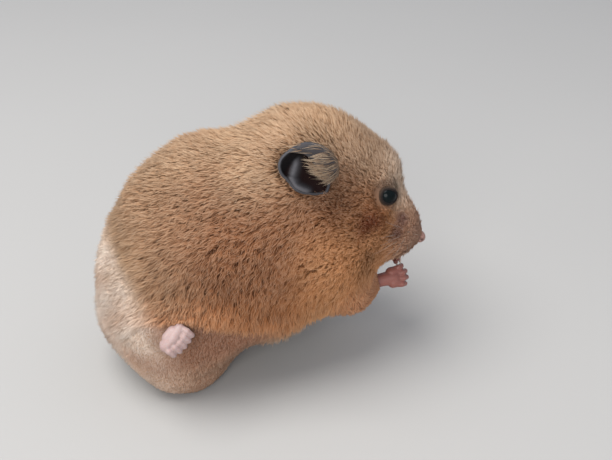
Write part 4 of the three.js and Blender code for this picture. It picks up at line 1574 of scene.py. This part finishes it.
pad = bmesh.new()
bmesh.ops.create_uvsphere(pad, u_segments=64, v_segments=40, radius=1.0)
for vert in pad.verts:
    point = np.array(vert.co)
    point = point * (1 - 0.3 * nostril_share(point))
    crease = math.exp(-((point[1] / 0.09) ** 2)) if point[0] > 0 and point[2] < 0.25 else 0
    vert.co = point * (1 - 0.1 * crease)
nose_mesh = mesh_of(pad, "nose_pad")
dents = [nostril_share(np.array(vert.co) / vert.co.length) for vert in nose_mesh.vertices]
store(nose_mesh, "nostril", dents)
turn = Matrix([list(row) for row in HEAD_SPIN]).to_4x4()
sized = Matrix.Diagonal((2.2 * MM, 2.3 * MM, 1.9 * MM, 1))
nose_mesh.transform(Matrix.Translation(Vector(NOSE - along_head((0.1, 0, 0))) * MM) @ turn @ sized)
nose_pad = tidy(link("nose_pad", nose_mesh))
unwrap(nose_pad)
nose_pad.data.materials.append(nose_paint)
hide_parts("nose")
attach(nose_pad, "root")
print("nose pad:", len(nose_mesh.vertices), "points")

# %% [markdown]
# The tail is a short, bare stub that tapers. Two rods melted together make it, and it has the
# same skin as the paws.

# %% Tail
tail_root = np.array([-44, 5, 9]) + SHIFT
tail_tip = np.array([-54, 7, 3.2]) + SHIFT
tail_middle = 0.5 * (tail_root + tail_tip)
form = bmesh.new()
rod(form, tail_root, tail_middle, 2.9, 2.3)
rod(form, tail_middle, tail_tip, 2.3, 1.4)
tail = melted("tail_stub", mesh_of(form, "tail_stub"), 0.4, 3, 0)
tail.data.shade_smooth()
unwrap(tail)
store(tail.data, "blush_and_shade", np.zeros(len(tail.data.vertices)))
tail.data.materials.append(paw_skin)
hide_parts("tail")
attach(tail, "root")
print("tail:", len(tail.data.vertices), "points")

# %% [markdown]
# Whiskers are the only hairs that are modelled one by one, because they are stiff, long and
# fanned out from the pads beside the nose. Each is a thin three-sided horn through four places on
# a drooping line, and tapers to almost nothing. Four rows of four stand on either side.

# %% One whisker
WHISKER_RADII = (0.06, 0.05, 0.035, 0.012)
WHISKER_PLACES = (0, 0.34, 0.68, 1)


def near_skin(point):
    """The nearest place on the unsunk skin and the way out of it."""
    found = outer_tree.find_nearest(Vector(point))
    return np.array(found[0]), np.array(found[1])


def add_whisker(form, start, way, length):
    droop = along_head((-0.6, 0, -0.25))
    side_a = unit(np.cross(way, (0, 0, 1)))
    side_b = unit(np.cross(way, side_a))
    rings = []
    for t, thick in zip(WHISKER_PLACES, WHISKER_RADII):
        middle = start + unit(way) * length * t + droop * length * 0.35 * t * t
        corners = [middle + thick * (math.cos(a) * side_a + math.sin(a) * side_b)
                   for a in np.radians((0, 120, 240))]
        rings.append([form.verts.new(corner * MM) for corner in corners])
    for ring, following in zip(rings, rings[1:]):
        for c in range(3):
            form.faces.new((ring[c], ring[(c + 1) % 3], following[(c + 1) % 3], following[c]))
    form.faces.new(rings[0][::-1])
    form.faces.new(rings[-1])


print("a whisker is", 2 * WHISKER_RADII[0], "mm thick at its root")

# %% Whiskers
whisker_horn, graph, shader = finish_material("whisker_horn", (0.5, 0.42, 0.36), 0.45)
place = graph.add("ShaderNodeTexCoord", output="Object")
dull = graph.add("ShaderNodeTexNoise", sockets={"Vector": place, "Scale": 200.0})
faded = graph.mix(dull, (0.55, 0.47, 0.4, 1), (0.3, 0.22, 0.18, 1))
plug(graph.tree, shader.inputs["Base Color"], faded)
WHISKER_ROOT_DEPTH = 1.2
form = bmesh.new()
pick = np.random.default_rng(5)
for side in SIDES.values():
    for row in range(4):
        for number in range(4):
            on_pad = on_head((19.0 - 1.7 * number, side * (4.4 + 0.5 * number), -3.4 - 1.35 * row))
            found, flat = near_skin(on_pad)
            way = along_head((0.25 - 0.22 * number, side, 0.35 - 0.3 * row)) + pick.normal(size=3) * 0.06
            length = pick.uniform(9, 13) - 1.2 * row
            add_whisker(form, found - flat * WHISKER_ROOT_DEPTH, way, length)
bmesh.ops.recalc_face_normals(form, faces=form.faces)
whiskers = link("whiskers", mesh_of(form, "whiskers"))
whiskers.data.materials.append(whisker_horn)
whiskers.data.shade_smooth()
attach(whiskers, "root")
print("whiskers:", len(whiskers.data.polygons), "faces")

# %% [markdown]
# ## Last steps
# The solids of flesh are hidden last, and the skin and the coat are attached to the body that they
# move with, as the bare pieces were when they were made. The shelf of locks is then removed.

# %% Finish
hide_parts(*FLESH)
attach(hide, "root")
for piece in coats:
    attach(piece, "root")
bpy.data.collections.remove(lock_shelf)
